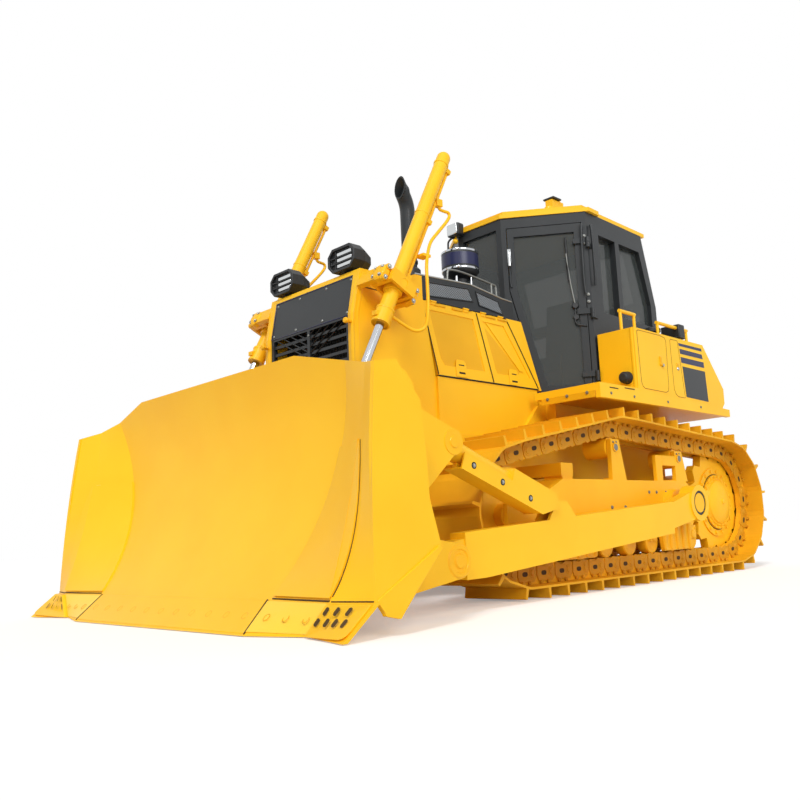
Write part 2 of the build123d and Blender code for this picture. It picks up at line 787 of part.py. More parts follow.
tank_front = 668.0
tank_in = cab_wide_half + 20
tank_out = track_out - 30
tank_top = 1955.0


def side_tank():
    """Tank and locker beside the cab with a sloped rear end."""
    return side_plate([
        (tank_front, deck_top(tank_front)), (tank_front, tank_top), (1800, tank_top), (2124, 1590),
        (2120, 1460), (2062, deck_top(2062)),
    ], tank_in, tank_out)


nodes["side_tanks"] = both_sides([side_tank()])


def rear_tank():
    """Rear tank on the hull, wider above the fenders."""
    front = cab_rear_y + 8
    seat_z = hull_rear_top + (hull_rear - front) * (hull_top - hull_rear_top) / (hull_rear - 1700)
    low = side_plate([
        (front, seat_z), (front, 1900), (1990, 1900), (2110, 1560), (2110, hull_rear_top),
        (hull_rear, hull_rear_top),
    ], -fender_in + 7, fender_in - 7)
    high = side_plate([(front, 1470), (front, 1900), (1990, 1900), (2110, 1560), (2110, 1470)],
                      -cab_rear_half, cab_rear_half)
    return low + high


nodes["rear_tank"] = rear_tank()

hitch_radius = 26.0
hitch_y = hull_rear + 86
nodes["drawbar"] = fuse([
    block(-200, 200, hull_rear, hull_rear + 40, 560, 900),
    block(-150, 150, hull_rear + 30, hull_rear + 140, 630, 705),
    block(-150, 150, hull_rear + 30, hull_rear + 140, 785, 860),
]) - rod((0, hitch_y, 600), (0, hitch_y, 900), hitch_radius)


def work_lamp(x, y, z):
    """Box lamp with a sunk face, on a small foot."""
    body = block(x - 140, x + 140, y - 100, y + 100, z, z + 170)
    body = body - block(x - 122, x + 122, y - 101, y - 84, z + 16, z + 154)
    foot = block(x - 40, x + 40, y - 20, y + 60, guard_top, z + 10)
    return body + foot


nodes["head_lamps"] = Compound(children=[work_lamp(339, -1480, 2178), work_lamp(-339, -1480, 2178)])


def handrail():
    """Two grab loops on the tank's top."""
    pieces = []
    for y0, y1, z in ((680, 880, 2110), (1250, 1740, 2100)):
        pieces.append(fuse([
            rod((1050, y0, tank_top), (1050, y0, z), 13), rod((1050, y1, tank_top), (1050, y1, z), 13),
            rod((1050, y0 - 15, z), (1050, y1 + 15, z), 15),
        ]))
    return pieces


nodes["handrails"] = both_sides(handrail())

# --------------------------------------------------------------------- push arms
pin_ball = 58.0
pin_play = 4.95               # the eye is longer than its ball, so that the arms can swing apart
pin_seat = 4.65
pin_radius = 40.0
bush_thick = 20.0
running_gap = 0.3
ear_gap = 84.0                # half the space between the blade's ears
ear_thick = 36.0


def bush():
    """Bush between the trunnion shaft and the arm's eye."""
    x0 = arm_centre_x - arm_width / 2 + 2
    x1 = arm_centre_x + arm_width / 2 - 6
    return tube((x0, trunnion_y, trunnion_z), (x1, trunnion_y, trunnion_z),
                trunnion_radius + running_gap + bush_thick, trunnion_radius + running_gap)


nodes["trunnion_bushes"] = Compound(children=[bush(), other_side(bush())])

arm_in = arm_centre_x - arm_width / 2
arm_out = arm_centre_x + arm_width / 2
bracket_y = -662.0            # tilt cylinder's and brace's lower eyes
bracket_z = 543.0
bracket_pin = 20.0
strut_top_y = -1682.0         # their upper pins on the blade
strut_top_z = 916.0
strut_top_x = 1300.0           # they stand a little further out than the arms
strut_pin = 35.0
strut_ball = 46.0


def push_arm():
    """Box arm with a round eye at each end and a bracket on top."""
    beam = side_plate([
        (-1560, 176), (-1400, 178), (720, 352), (720, 583), (-1560, 430),
    ], arm_in, arm_out)
    neck = side_plate([(700, 380), (trunnion_y, 460), (trunnion_y, 684), (700, 566)],
                      arm_in + 12, arm_out - 12)
    eye = disc(140, arm_in, arm_out, trunnion_y, trunnion_z)
    front_neck = side_plate([(-1540, 200), (-1540, 400), (arm_pin_y, 380), (arm_pin_y, 190)],
                            arm_in + 8, arm_out - 8)
    front_eye = disc(104, arm_in + 8, arm_out - 8, arm_pin_y, arm_pin_z)
    ears = []
    for x in (arm_in, arm_out - 20):
        ears.append(side_plate([
            (bracket_y - 150, 460), (bracket_y + 170, 470), (bracket_y + 60, bracket_z + 52),
            (bracket_y - 50, bracket_z + 52)], x, x + 20))
    pin = disc(bracket_pin, arm_in, arm_out, bracket_y, bracket_z)
    whole = fuse([beam, neck, eye, front_neck, front_eye, pin] + ears)
    whole = whole - disc(trunnion_radius + 2 * running_gap + bush_thick, arm_in - 1, arm_out + 1,
                         trunnion_y, trunnion_z)
    return whole - disc(pin_ball + pin_play, arm_in - 1, arm_out + 1, arm_pin_y - pin_seat, arm_pin_z)


nodes["push_arm_left"] = push_arm()
nodes["push_arm_right"] = other_side(nodes["push_arm_left"])

# ------------------------------------------------------------------------ blade
skin = 30.0

# one row for each upright line of the moldboard's face, from the middle outward:
# x at the foot, x at the top, y at the foot, y at mid height, y at the top, top height
face_lines = [
    (0.0, 0.0, -2553.0, -2256.0, -2339.0, 1407.0),
    (930.0, 876.0, -2553.0, -2256.0, -2339.0, 1407.0),
    (958.0, 1266.0, -2554.0, -2256.0, -2309.0, 1316.0),
    (1452.0, 1470.0, -2582.0, -2399.0, -2352.0, 1266.0),
    (blade_half - 4, blade_top_half, -2526.0, -2485.0, -2441.0, 1234.0),
]
foot_z = 150.0
mid_z = 850.0
wear_low = 172.0
wear_high = 890.0
wear_thick = 12.0
end_low = 70.0                # lowest corner of the end plates


def face_section(row):
    """Closed outline through one face line, with the plate behind it."""
    x_foot, x_top, y_foot, y_mid, y_top, z_top = row
    x_mid = x_foot + (x_top - x_foot) * (mid_z - foot_z) / (z_top - foot_z)
    ahead = ThreePointArc((x_foot, y_foot, foot_z), (x_mid, y_mid, mid_z), (x_top, y_top, z_top))
    behind = ThreePointArc((x_top, y_top + skin, z_top), (x_mid, y_mid + skin, mid_z),
                           (x_foot, y_foot + skin, foot_z))
    top = Line((x_top, y_top, z_top), (x_top, y_top + skin, z_top))
    foot = Line((x_foot, y_foot + skin, foot_z), (x_foot, y_foot, foot_z))
    return make_face(Wire([ahead, top, behind, foot]))


def face_panels():
    """Left half of the moldboard as panels between the face lines."""
    panels = []
    for a, b in zip(face_lines, face_lines[1:]):
        panels.append(loft([face_section(a), face_section(b)], ruled=True))
    return panels


lift_x = 695.0
lift_ear_gap = 110.0
lift_ear_thick = 25.0
lift_pin_y = -1970.0
lift_pin_z = 903.0


def row_x(row, z):
    """Place across the blade of a face line at a height."""
    return row[0] + (row[1] - row[0]) * (z - foot_z) / (row[5] - foot_z)


def row_y(row, z):
    """Place along the machine of a face line at a height, on its arc."""
    a = Vector(row[2], foot_z, 0)
    b = Vector(row[3], mid_z, 0)
    c = Vector(row[4], row[5], 0)
    det = 2 * (a.X * (b.Y - c.Y) + b.X * (c.Y - a.Y) + c.X * (a.Y - b.Y))
    aa = a.dot(a)
    bb = b.dot(b)
    cc = c.dot(c)
    centre_y = (aa * (b.Y - c.Y) + bb * (c.Y - a.Y) + cc * (a.Y - b.Y)) / det
    centre_z = (aa * (c.X - b.X) + bb * (a.X - c.X) + cc * (b.X - a.X)) / det
    radius = math.hypot(a.X - centre_y, a.Y - centre_z)
    side = math.copysign(1, row[3] - centre_y)
    return centre_y + side * math.sqrt(radius ** 2 - (z - centre_z) ** 2)


def face_y(x, z):
    """Place along the machine of the face at any point across it."""
    for a, b in zip(face_lines, face_lines[1:]):
        xa = row_x(a, z)
        xb = row_x(b, z)
        if xa <= x <= xb:
            return row_y(a, z) + (row_y(b, z) - row_y(a, z)) * (x - xa) / (xb - xa)
    return row_y(face_lines[-1], z)


def back_box(heights, rear):
    """Box along the back of the face, with its front side buried in the face's plate."""
    pieces = []
    rows = face_lines[:-1] + [(blade_half - 20, blade_top_half - 20) + face_lines[-1][2:]]
    sections = []
    for row in rows:
        points = [(row_x(row, z), row_y(row, z) + skin / 2, z) for z in heights]
        points += [(row_x(row, z), y, z) for y, z in rear]
        sections.append(make_face(Polyline(*points, close=True)))
    for a, b in zip(sections, sections[1:]):
        pieces.append(loft([a, b], ruled=True))
    return fuse(pieces)


def back_ear(x, thick, low, high, rear):
    """Upright ear behind the face, from one height to another, with its rear outline."""
    steps = 5
    front = []
    for i in range(steps + 1):
        z = low + (high - low) * i / steps
        front.append((face_y(x + thick / 2, z) + skin * 0.6, z))
    return side_plate(front + rear, x, x + thick)


def blade_back():
    """Boxes, pin ears and cylinder ears behind the face."""
    low_box = back_box((160, 315, 470), [(-2200, 470), (-2150, 380), (-2300, 160)])
    top_box = back_box((1090, 1215), [(-2230, 1215), (-2180, 1150), (-2180, 1090)])
    pieces = [low_box, top_box]
    for x in (arm_centre_x - ear_gap - ear_thick, arm_centre_x + ear_gap):
        pieces.append(back_ear(x, ear_thick, 165, 460, [
            (-2160, 460), (arm_pin_y, arm_pin_z + 92), (arm_pin_y, arm_pin_z - 92), (-2160, 120),
            (-2400, 120)]))
        pieces.append(back_ear(x, ear_thick, 462, 1200, [
            (-2230, 1200), (strut_top_y, strut_top_z + 74), (strut_top_y, strut_top_z - 74), (-2120, 462)]))
        pieces.append(disc(92, x, x + ear_thick, arm_pin_y, arm_pin_z))
        pieces.append(disc(74, x, x + ear_thick, strut_top_y, strut_top_z))
    x0 = arm_centre_x - ear_gap - ear_thick
    x1 = arm_centre_x + ear_gap + ear_thick
    pieces.append(Pos(arm_centre_x, arm_pin_y, arm_pin_z) * Rot(0, 90, 0) * Sphere(pin_ball))
    pieces.append(disc(pin_radius, x0 + 2, x1 - 2, arm_pin_y, arm_pin_z))
    pieces.append(Pos(strut_top_x, strut_top_y, strut_top_z) * Rot(0, 90, 0) * Sphere(strut_ball))
    pieces.append(disc(strut_pin, x0 + 2, x1 - 2, strut_top_y, strut_top_z))
    for x in (lift_x - lift_ear_gap - lift_ear_thick, lift_x + lift_ear_gap):
        pieces.append(back_ear(x, lift_ear_thick, 700, 1150, [
            (-2180, 1150), (lift_pin_y, lift_pin_z + 72), (lift_pin_y, lift_pin_z - 72), (-2180, 700)]))
        pieces.append(disc(72, x, x + lift_ear_thick, lift_pin_y, lift_pin_z))
    return fuse(pieces)


def wear_plate():
    """Wear plate over the lower wing, standing proud of the face."""
    heights = (wear_low, (wear_low + wear_high) / 2, wear_high)
    sections = []
    for row in face_lines[2:4]:
        front = [(row_x(row, z), row_y(row, z) - wear_thick, z) for z in heights]
        back = [(row_x(row, z), row_y(row, z) + skin / 2, z) for z in heights]
        sections.append(make_face(Wire([
            ThreePointArc(*front), Line(front[2], back[2]),
            ThreePointArc(*reversed(back)), Line(back[0], front[0]),
        ])))
    return loft(sections, ruled=True)


def end_plate():
    """Side plate of the blade, leaning in towards its top, with the ear at its upper rear."""
    flat = side_plate([
        (-2441, 1234), (-2297, 1258), (-2250, 1180), (-2161, 1072), (-2150, 800), (-2150, 597),
        (-2095, 363), (-2384, end_low), (-2470, 90), (-2490, foot_z + 4), (-2526, foot_z + 4), (-2505, 500),
        (-2485, mid_z),
    ], blade_half - 24, blade_half)
    lean = math.degrees(math.atan2(blade_half - blade_top_half, face_lines[-1][5] - end_low))
    return flat.rotate(Axis((blade_half, 0, end_low), (0, 1, 0)), -lean)


left_half = fuse(face_panels() + [wear_plate(), blade_back(), end_plate()])
nodes["blade"] = left_half + other_side(left_half)

edge_thick = 28.0

# (x, y, z) of the top and the bottom corner at each joint of the cutting edge
edge_corners = [
    ((0.0, -2553.0, 150.0), (0.0, -2715.0, 1.0)),
    ((929.0, -2553.0, 150.0), (956.0, -2715.0, 1.0)),
    ((1448.0, -2583.0, 150.0), (1316.0, -2612.0, 1.0)),
    ((blade_half, -2526.0, 150.0), (blade_half, -2714.0, 2.0)),
]


def edge_section(top, bottom):
    """Cross-section of the edge bar at one joint."""
    back_top = (top[0], top[1] + edge_thick, top[2])
    back_bottom = (bottom[0], bottom[1] + edge_thick, bottom[2])
    return make_face(Polyline(top, bottom, back_bottom, back_top, close=True))


edge_bars = []
for inner_end, outer_end in zip(edge_corners, edge_corners[1:]):
    edge_bars.append(loft([edge_section(*inner_end), edge_section(*outer_end)], ruled=True))
left_edge = fuse(edge_bars)
nodes["cutting_edge"] = left_edge + other_side(left_edge)

# ------------------------------------------------------------------ lift cylinders
lift_dir = Vector(0, 657, 1315).normalized()
yoke_y = -1417.0
yoke_z = 2010.0
barrel_radius = 49.0
pipe_radius = 11.0
pipe_stand = 20.0              # from the barrel to the pipe's centre line
rod_radius = 27.5
yoke_axis = Vector(0, lift_dir.Z, -lift_dir.Y)
yoke_at = Vector(lift_x, yoke_y, yoke_z)
yoke_pin = 28.0
yoke_stub = 34.0
lift_reach = (Vector(lift_x, lift_pin_y, lift_pin_z) - yoke_at).length


def along(distance):
    """Point on the left lift cylinder's line at a distance above the yoke."""
    p = yoke_at + lift_dir * distance
    return (p.X, p.Y, p.Z)


def lift_barrel():
    """Barrel with its gland, trunnion block and rounded top."""
    body = rod(along(-300), along(1150), barrel_radius)
    cap = Pos(*along(1150)) * Sphere(barrel_radius)
    gland = rod(along(-300), along(-190), barrel_radius + 9)
    block_part = rod(along(-50), along(50), barrel_radius + 14)
    trunnions = disc(yoke_pin, lift_x - 92, lift_x + 92, yoke_y, yoke_z)
    bore = rod(along(-301), along(1130), rod_radius + running_gap)
    return fuse([body, cap, gland, block_part, trunnions]) - bore


def lift_pipe():
    """Steel pipe behind the lift barrel, on three clamps, from beside the yoke to the barrel's head."""
    away = yoke_axis * (barrel_radius + pipe_stand)
    near = yoke_axis * (barrel_radius + 12)
    stands = ((118, near), (150, away), (1040, away), (1072, near))
    stops = [Vector(*along(d)) + shift for d, shift in stands]
    pieces = []
    for a, b in zip(stops, stops[1:]):
        pieces.append(rod((a.X, a.Y, a.Z), (b.X, b.Y, b.Z), pipe_radius))
    for p in stops[1:3]:
        pieces.append(Pos(p.X, p.Y, p.Z) * Sphere(pipe_radius))
    for d in (118, 600, 1072):
        seat = Vector(*along(d)) + yoke_axis * (barrel_radius + 14)
        pieces.append(Plane(origin=seat, x_dir=(1, 0, 0), z_dir=lift_dir) * Box(52, 40, 34))
    return fuse(pieces) - rod(along(-300), along(1150), barrel_radius + running_gap)


def lift_rod():
    """Chromed rod with its lower eye."""
    bar = rod(along(-lift_reach + 50), along(200), rod_radius)
    eye = disc(66, lift_x - 40, lift_x + 40, lift_pin_y, lift_pin_z)
    return bar + eye - disc(32, lift_x - 41, lift_x + 41, lift_pin_y, lift_pin_z)


def lift_yoke():
    """Frame round the barrel that swings on the bracket."""
    place = Plane(origin=yoke_at, x_dir=(1, 0, 0), z_dir=lift_dir)
    outer = place * Box(190, 210, 90)
    inner = place * Box(142, 160, 92)
    bore = disc(yoke_pin + running_gap, lift_x - 100, lift_x + 100, yoke_y, yoke_z)
    stubs = []
    for side in (-1, 1):
        a = yoke_at + yoke_axis * (side * 95)
        b = yoke_at + yoke_axis * (side * 150)
        stubs.append(rod((a.X, a.Y, a.Z), (b.X, b.Y, b.Z), yoke_stub))
    return fuse([outer - inner] + stubs) - bore


def yoke_bracket():
    """Bracket on the guard with a bearing before and behind the yoke."""
    pieces = []
    for side in (-1, 1):
        a = yoke_at + yoke_axis * (side * 112)
        b = yoke_at + yoke_axis * (side * 150)
        ring = rod((a.X, a.Y, a.Z), (b.X, b.Y, b.Z), 62)
        middle = (a + b) / 2 - Vector((lift_x - guard_half) / 2, 0, 0)
        place = Plane(origin=middle, x_dir=(1, 0, 0), z_dir=yoke_axis)
        arm_part = place * Box(lift_x - guard_half, 100, 38)
        bore = rod(tuple(a - yoke_axis * side), tuple(b + yoke_axis * side), yoke_stub + running_gap)
        pieces.append(ring + arm_part - bore)
    return pieces


for name, shape in (("lift_barrel", lift_barrel()), ("lift_pipe", lift_pipe()), ("lift_rod", lift_rod()),
                    ("lift_yoke", lift_yoke())):
    nodes[f"{name}_left"] = shape
    nodes[f"{name}_right"] = other_side(shape)
bracket_parts = yoke_bracket()
nodes["yoke_brackets"] = Compound(children=bracket_parts + [other_side(p) for p in bracket_parts])

# ------------------------------------------------------------- tilt cylinder, brace
strut_a = Vector(strut_top_x, strut_top_y, strut_top_z)
strut_b = Vector(arm_centre_x, bracket_y, bracket_z)
strut_dir = (strut_b - strut_a).normalized()
strut_length = (strut_b - strut_a).length
strut_neck = 135.0
low_eye_half = 22.0
tilt_radius = 60.0
barrel_end = 560.0            # from the upper pin along the cylinder
guard_side = 70.0
guard_plate = 10.0


def strut_point(distance):
    """Point on the tilt cylinder's line, from its upper pin down."""
    p = strut_a + strut_dir * distance
    return (p.X, p.Y, p.Z)


def low_end():
    """Slim neck and open eye round the arm's bracket pin."""
    neck = rod(strut_point(strut_length - strut_neck - 1), strut_point(strut_length - 36), 21)
    eye = disc(43, arm_centre_x - low_eye_half, arm_centre_x + low_eye_half, bracket_y, bracket_z)
    hole = disc(bracket_pin + 5, arm_centre_x - 60, arm_centre_x + 60, bracket_y, bracket_z)
    return neck + eye - hole


def strut_box(x0, x1, y0, y1, z0, z1):
    """Box in the tilt cylinder's own axes: x outward, y down from its line, z along it."""
    place = Plane(origin=strut_a, x_dir=(1, 0, 0), z_dir=strut_dir)
    return place * block(x0, x1, y0, y1, z0, z1)


def rod_guard():
    """Plate guard under and outboard of the tilt cylinder, with a roof over its rod."""
    outboard = guard_side + guard_plate
    edge = [(120, 10), (barrel_end, 10), (barrel_end, -66), (980, -66), (1010, -20), (1010, 24), (880, 104),
            (120, 104)]
    place = Plane(origin=strut_a, x_dir=(1, 0, 0), z_dir=strut_dir)
    wire = Polyline(*[(guard_side, y, z) for z, y in edge], close=True)
    side = place * extrude(make_face(wire), amount=guard_plate, dir=(1, 0, 0))
    floor = strut_box(-50, outboard, 94, 104, 120, 860)
    roof = strut_box(-50, outboard, -66, -56, barrel_end, 980)
    web = strut_box(-14, 14, 50, 96, 140, barrel_end - 10)
    collar = strut_box(-50, outboard, -66, 100, barrel_end - 6, barrel_end + 14)
    hole = rod(strut_point(barrel_end - 7), strut_point(barrel_end + 15), 40 + running_gap)
    return fuse([side, floor, roof, web, collar]) - hole


def tilt_barrel():
    """Tilt cylinder's barrel with its upper eye and its guard."""
    body = rod(strut_point(45), strut_point(barrel_end), tilt_radius)
    eye = disc(70, strut_top_x - 48, strut_top_x + 48, strut_top_y, strut_top_z)
    bore = rod(strut_point(120), strut_point(barrel_end + 1), 40 + running_gap)
    hole = disc(strut_ball + running_gap, strut_top_x - 60, strut_top_x + 60, strut_top_y, strut_top_z)
    return body + rod_guard() + eye - bore - hole


def tilt_rod():
    """Tilt cylinder's rod with its lower eye."""
    return rod(strut_point(260), strut_point(strut_length - strut_neck), 40) + low_end()


def brace():
    """Fixed-length strut on the right side."""
    body = rod(strut_point(60), strut_point(strut_length - strut_neck), 52)
    eye = disc(68, strut_top_x - 48, strut_top_x + 48, strut_top_y, strut_top_z)
    hole = disc(strut_ball + running_gap, strut_top_x - 60, strut_top_x + 60, strut_top_y, strut_top_z)
    return body + eye - hole + low_end()


nodes["tilt_barrel"] = tilt_barrel()
nodes["tilt_rod"] = tilt_rod()
nodes["tilt_brace"] = other_side(brace())

# -------------------------------------------------------------------------- export
os.makedirs("parts", exist_ok=True)
for name, shape in nodes.items():
    export_step(shape, f"parts/{name}.step")
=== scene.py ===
# %% [markdown]
# # A crawler dozer, dressed for a plain studio
# The machine's solids arrive from its CAD model. This notebook gives each of them its real
# finish and adds the small parts that a solid model leaves out: bolts, mesh, pipes and trim.
# Lengths are in metres. The machine faces -Y, and its left side is at +X.

import math

import bmesh
import bpy
from mathutils import Matrix, Vector


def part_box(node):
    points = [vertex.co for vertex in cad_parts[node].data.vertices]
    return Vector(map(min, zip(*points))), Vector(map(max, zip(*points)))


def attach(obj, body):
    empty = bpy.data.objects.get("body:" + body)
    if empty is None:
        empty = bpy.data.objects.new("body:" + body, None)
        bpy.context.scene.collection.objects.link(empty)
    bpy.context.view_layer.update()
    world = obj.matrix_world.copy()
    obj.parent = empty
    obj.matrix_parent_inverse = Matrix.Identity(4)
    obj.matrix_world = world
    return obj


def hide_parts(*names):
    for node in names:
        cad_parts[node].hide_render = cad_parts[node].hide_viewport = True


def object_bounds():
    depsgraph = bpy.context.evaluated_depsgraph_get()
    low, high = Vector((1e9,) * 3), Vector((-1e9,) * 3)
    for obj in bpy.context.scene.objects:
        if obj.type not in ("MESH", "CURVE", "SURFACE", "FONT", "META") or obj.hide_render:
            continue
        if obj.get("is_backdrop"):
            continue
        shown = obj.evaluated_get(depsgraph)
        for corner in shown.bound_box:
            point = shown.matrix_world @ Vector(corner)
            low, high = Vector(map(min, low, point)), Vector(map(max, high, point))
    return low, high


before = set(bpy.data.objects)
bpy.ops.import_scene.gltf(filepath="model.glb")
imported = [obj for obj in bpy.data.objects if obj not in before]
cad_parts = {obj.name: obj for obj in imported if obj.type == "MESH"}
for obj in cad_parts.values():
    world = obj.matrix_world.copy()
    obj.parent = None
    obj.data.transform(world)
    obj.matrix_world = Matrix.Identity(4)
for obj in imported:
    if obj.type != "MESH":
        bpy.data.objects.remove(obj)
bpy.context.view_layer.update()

# %% [markdown]
# ## Colours and node helpers
# Colours are written as sRGB hex, as on a paint chart. One function turns them to the linear
# values that the renderer works in, and another adds a node with its inputs.

# %% Helpers for materials
def paint(hex_colour):
    """Linear RGBA from an sRGB hex string."""
    channels = [int(hex_colour[i:i + 2], 16) / 255 for i in (1, 3, 5)]
    linear = [c / 12.92 if c <= 0.04045 else ((c + 0.055) / 1.055) ** 2.4 for c in channels]
    return (*linear, 1.0)


def wire(node, **inputs):
    """Set inputs to values or other nodes' outputs; _ stands for a space, and i0 is the first."""
    for name, value in inputs.items():
        numbered = name[0] == "i" and name[1:].isdigit()
        socket = node.inputs[int(name[1:]) if numbered else name.replace("_", " ")]
        if isinstance(value, bpy.types.NodeSocket):
            node.id_data.links.new(value, socket)
        else:
            socket.default_value = value
    return node


def add(tree, kind, operation=None, **inputs):
    """Add a node with its inputs."""
    node = tree.nodes.new(kind)
    if operation:
        node.operation = operation
    return wire(node, **inputs)


def new_material(name):
    """An empty node material, its tree and its surface shader."""
    material = bpy.data.materials.new(name)
    material.use_nodes = True
    tree = material.node_tree
    tree.nodes.clear()
    shader = add(tree, "ShaderNodeBsdfPrincipled")
    add(tree, "ShaderNodeOutputMaterial", Surface=shader.outputs[0])
    return material, tree, shader


def place(tree):
    """The point on the object."""
    return add(tree, "ShaderNodeTexCoord").outputs["Object"]


def noise(tree, where, scale, detail, **more):
    """A noise pattern's factor."""
    return add(tree, "ShaderNodeTexNoise", Vector=where, Scale=scale, Detail=detail, **more).outputs["Fac"]


def calc(tree, operation, *values):
    """The result of one sum."""
    inputs = {f"i{k}": value for k, value in enumerate(values)}
    return add(tree, "ShaderNodeMath", operation, **inputs).outputs[0]


def spread(tree, factor, low, high):
    """A factor from 0 to 1 as a value between two others."""
    return add(tree, "ShaderNodeMapRange", Value=factor, To_Min=low, To_Max=high).outputs["Result"]


def ramp(tree, factor, *stops):
    """A colour from two (position, colour) stops."""
    node = add(tree, "ShaderNodeValToRGB", Fac=factor)
    for element, (position, colour) in zip(node.color_ramp.elements, stops):
        element.position = position
        element.color = colour
    return node.outputs["Color"]


def bump(tree, height, strength, distance, **more):
    """A normal that follows a height pattern."""
    node = add(tree, "ShaderNodeBump", Height=height, Strength=strength, Distance=distance, **more)
    return node.outputs["Normal"]


# %% [markdown]
# ## Finishes
# One yellow enamel covers plate, castings and tracks alike. It is a glossy dielectric, so it is
# the standard shader with a low roughness. Two noises give it life: a broad one for the way a
# sprayed film varies, and a fine one for its orange-peel ripple.

# %% Enamels
def enamel(name, base, shade, roughness, coat=0.06, cast=0.0):
    """Sprayed enamel that drifts to a darker shade and ripples; cast adds a sand-cast grain."""
    material, tree, shader = new_material(name)
    where = place(tree)
    drift = noise(tree, where, 1.7, 3.0, Roughness=0.55)
    ripple = noise(tree, where, 120.0, 2.0)
    under = {"Normal": bump(tree, noise(tree, where, 420.0, 4.0), cast, 0.002)} if cast else {}
    wire(shader, Base_Color=ramp(tree, drift, (0.36, paint(shade)), (0.62, paint(base))),
         Roughness=spread(tree, ripple, roughness - 0.05, roughness + 0.07),
         Normal=bump(tree, ripple, 0.12, 0.006, **under),
         Coat_Weight=coat, Coat_Roughness=0.12, Specular_IOR_Level=0.3)
    return material


# the panels' yellow: slightly deeper where the film is thin
yellow = enamel("yellow_sprayed_enamel", "#FFC61C", "#FDC015", 0.4)
# the same paint over rough castings, which scatter it
yellow_cast = enamel("yellow_enamel_on_casting", "#FFC11A", "#F9B814", 0.46, cast=0.3)
# track steel takes a thinner, duller coat
yellow_track = enamel("yellow_enamel_on_track_steel", "#F2B41A", "#DFA012", 0.52, 0.0, 0.25)
# painted shade: the links are painted darker, because they lie in the shade of the shoes
shaded_link_yellow = enamel("yellow_enamel_painted_link_shade", "#D99B18", "#C68A14", 0.55, 0.0, 0.35)
# painted shade: sunk panels and bolt rings, and a few tabs and plates, are painted a step darker, for the shade
# that falls in recesses
painted_shade_yellow = enamel("yellow_enamel_painted_recess_shade", "#EDB214", "#E6A90F", 0.44)
# painted highlight: plates that stand proud are painted lighter, as if they catch more light
painted_highlight_yellow = enamel("yellow_enamel_painted_highlight", "#FFD445", "#FFD13F", 0.4)
# satin black of the mask, the hood's strips and the cab's frame
satin_black = enamel("black_satin_enamel", "#2C2F31", "#26292B", 0.42, coat=0.1)

# %% Bare metals, rubber and plastics
def plain(name, base, roughness, metallic=0.0, grain=300.0, strength=0.15, distance=0.001):
    """A uniform surface with a fine grain in its colour, gloss and relief."""
    material, tree, shader = new_material(name)
    fine = noise(tree, place(tree), grain, 3.0)
    light = paint(base)
    dim = (*(0.82 * channel for channel in light[:3]), 1.0)
    wire(shader, Base_Color=ramp(tree, fine, (0.0, dim), (1.0, light)),
         Roughness=spread(tree, fine, max(0.02, roughness - 0.06), roughness + 0.06),
         Normal=bump(tree, fine, strength, distance), Metallic=metallic)
    if not metallic:
        wire(shader, IOR=1.5)
    return material


# metals: a mirror-bright rod, bolts that are bright or weathered, reflectors and raw castings
chrome_rod = plain("hard_chrome_plate", "#C9CCD0", 0.12, 1.0, 900.0, 0.03)
zinc_bolt = plain("zinc_plated_steel", "#B9BBB8", 0.34, 1.0, 500.0)
zinc_dull = plain("weathered_zinc_plate", "#8E8F8B", 0.5, 0.85, 420.0)
lamp_silver = plain("aluminised_reflector", "#D9DCDD", 0.14, 1.0, 200.0, 0.05)
cast_iron = plain("raw_cast_iron", "#4A4947", 0.6, 0.6, 350.0, 0.4)
# rubber and plastic: near black, from soft and dull to moulded with a fine texture
stop_rubber = plain("hydraulic_hose_rubber", "#1B1C1E", 0.62, 0.0, 700.0, 0.3)
seal_rubber = plain("window_seal_rubber", "#141516", 0.55, 0.0, 500.0)
plastic = plain("moulded_black_polypropylene", "#1E2022", 0.5, 0.0, 800.0, 0.35)
seat_fabric = plain("woven_seat_fabric", "#26282B", 0.85, 0.0, 900.0, 0.6, 0.002)
# smooth films that are stuck on the tank
navy_film = plain("navy_vinyl_film", "#141A48", 0.35, 0.0, 400.0, 0.04)
plate_film = plain("dark_vinyl_plate", "#232629", 0.38, 0.0, 400.0, 0.04)
# painted shade for what a gap shows: no light at all, the shade down a seam, or only the plates' own shadow
deep_shade = plain("unlit_cavity", "#16140F", 0.85, 0.0, 260.0, 0.1)
painted_seam_shade = plain("painted_shade_in_a_seam", "#4A3410", 0.8, 0.0, 520.0, 0.1)
seam_yellow = plain("shadowed_shut_line", "#9A6E10", 0.7, 0.0, 520.0, 0.1)

# %% Woven steel
def woven(name, strand_colour, gap_shade_colour, pitch):
    """Steel screen: two sets of bands cross at a slant, and what lies between them is painted dark, as painted
    shade.
    """
    material, tree, shader = new_material(name)
    spot = add(tree, "ShaderNodeSeparateXYZ", Vector=place(tree)).outputs
    waves = []
    for slant in ("ADD", "SUBTRACT"):
        turns = calc(tree, "MULTIPLY", calc(tree, slant, spot["Y"], spot["Z"]), 2 * math.pi / pitch)
        waves.append(calc(tree, "SINE", turns))
    top = calc(tree, "MAXIMUM", *waves)
    wire(shader, Base_Color=ramp(tree, top, (0.35, paint(gap_shade_colour)), (0.75, paint(strand_colour))),
         Roughness=0.5, Normal=bump(tree, top, 0.4, 0.002))
    return material


# a screen too fine to model strand by strand
# painted shade: the screen's gaps are painted near black
woven_screen = woven("woven_steel_screen", "#8D949A", "#2B2E30", 0.018)

# %% Glass
def tinted(name, colour, alpha):
    """Tinted safety glass: a dark, glossy sheet that lets some of the cab show."""
    material, tree, shader = new_material(name)
    wave = noise(tree, place(tree), 3.0, 1.0)
    wire(shader, Normal=bump(tree, wave, 0.02, 0.01), Base_Color=paint(colour), Roughness=0.05,
         IOR=1.52, Alpha=alpha)
    material.surface_render_method = "BLENDED"
    return material


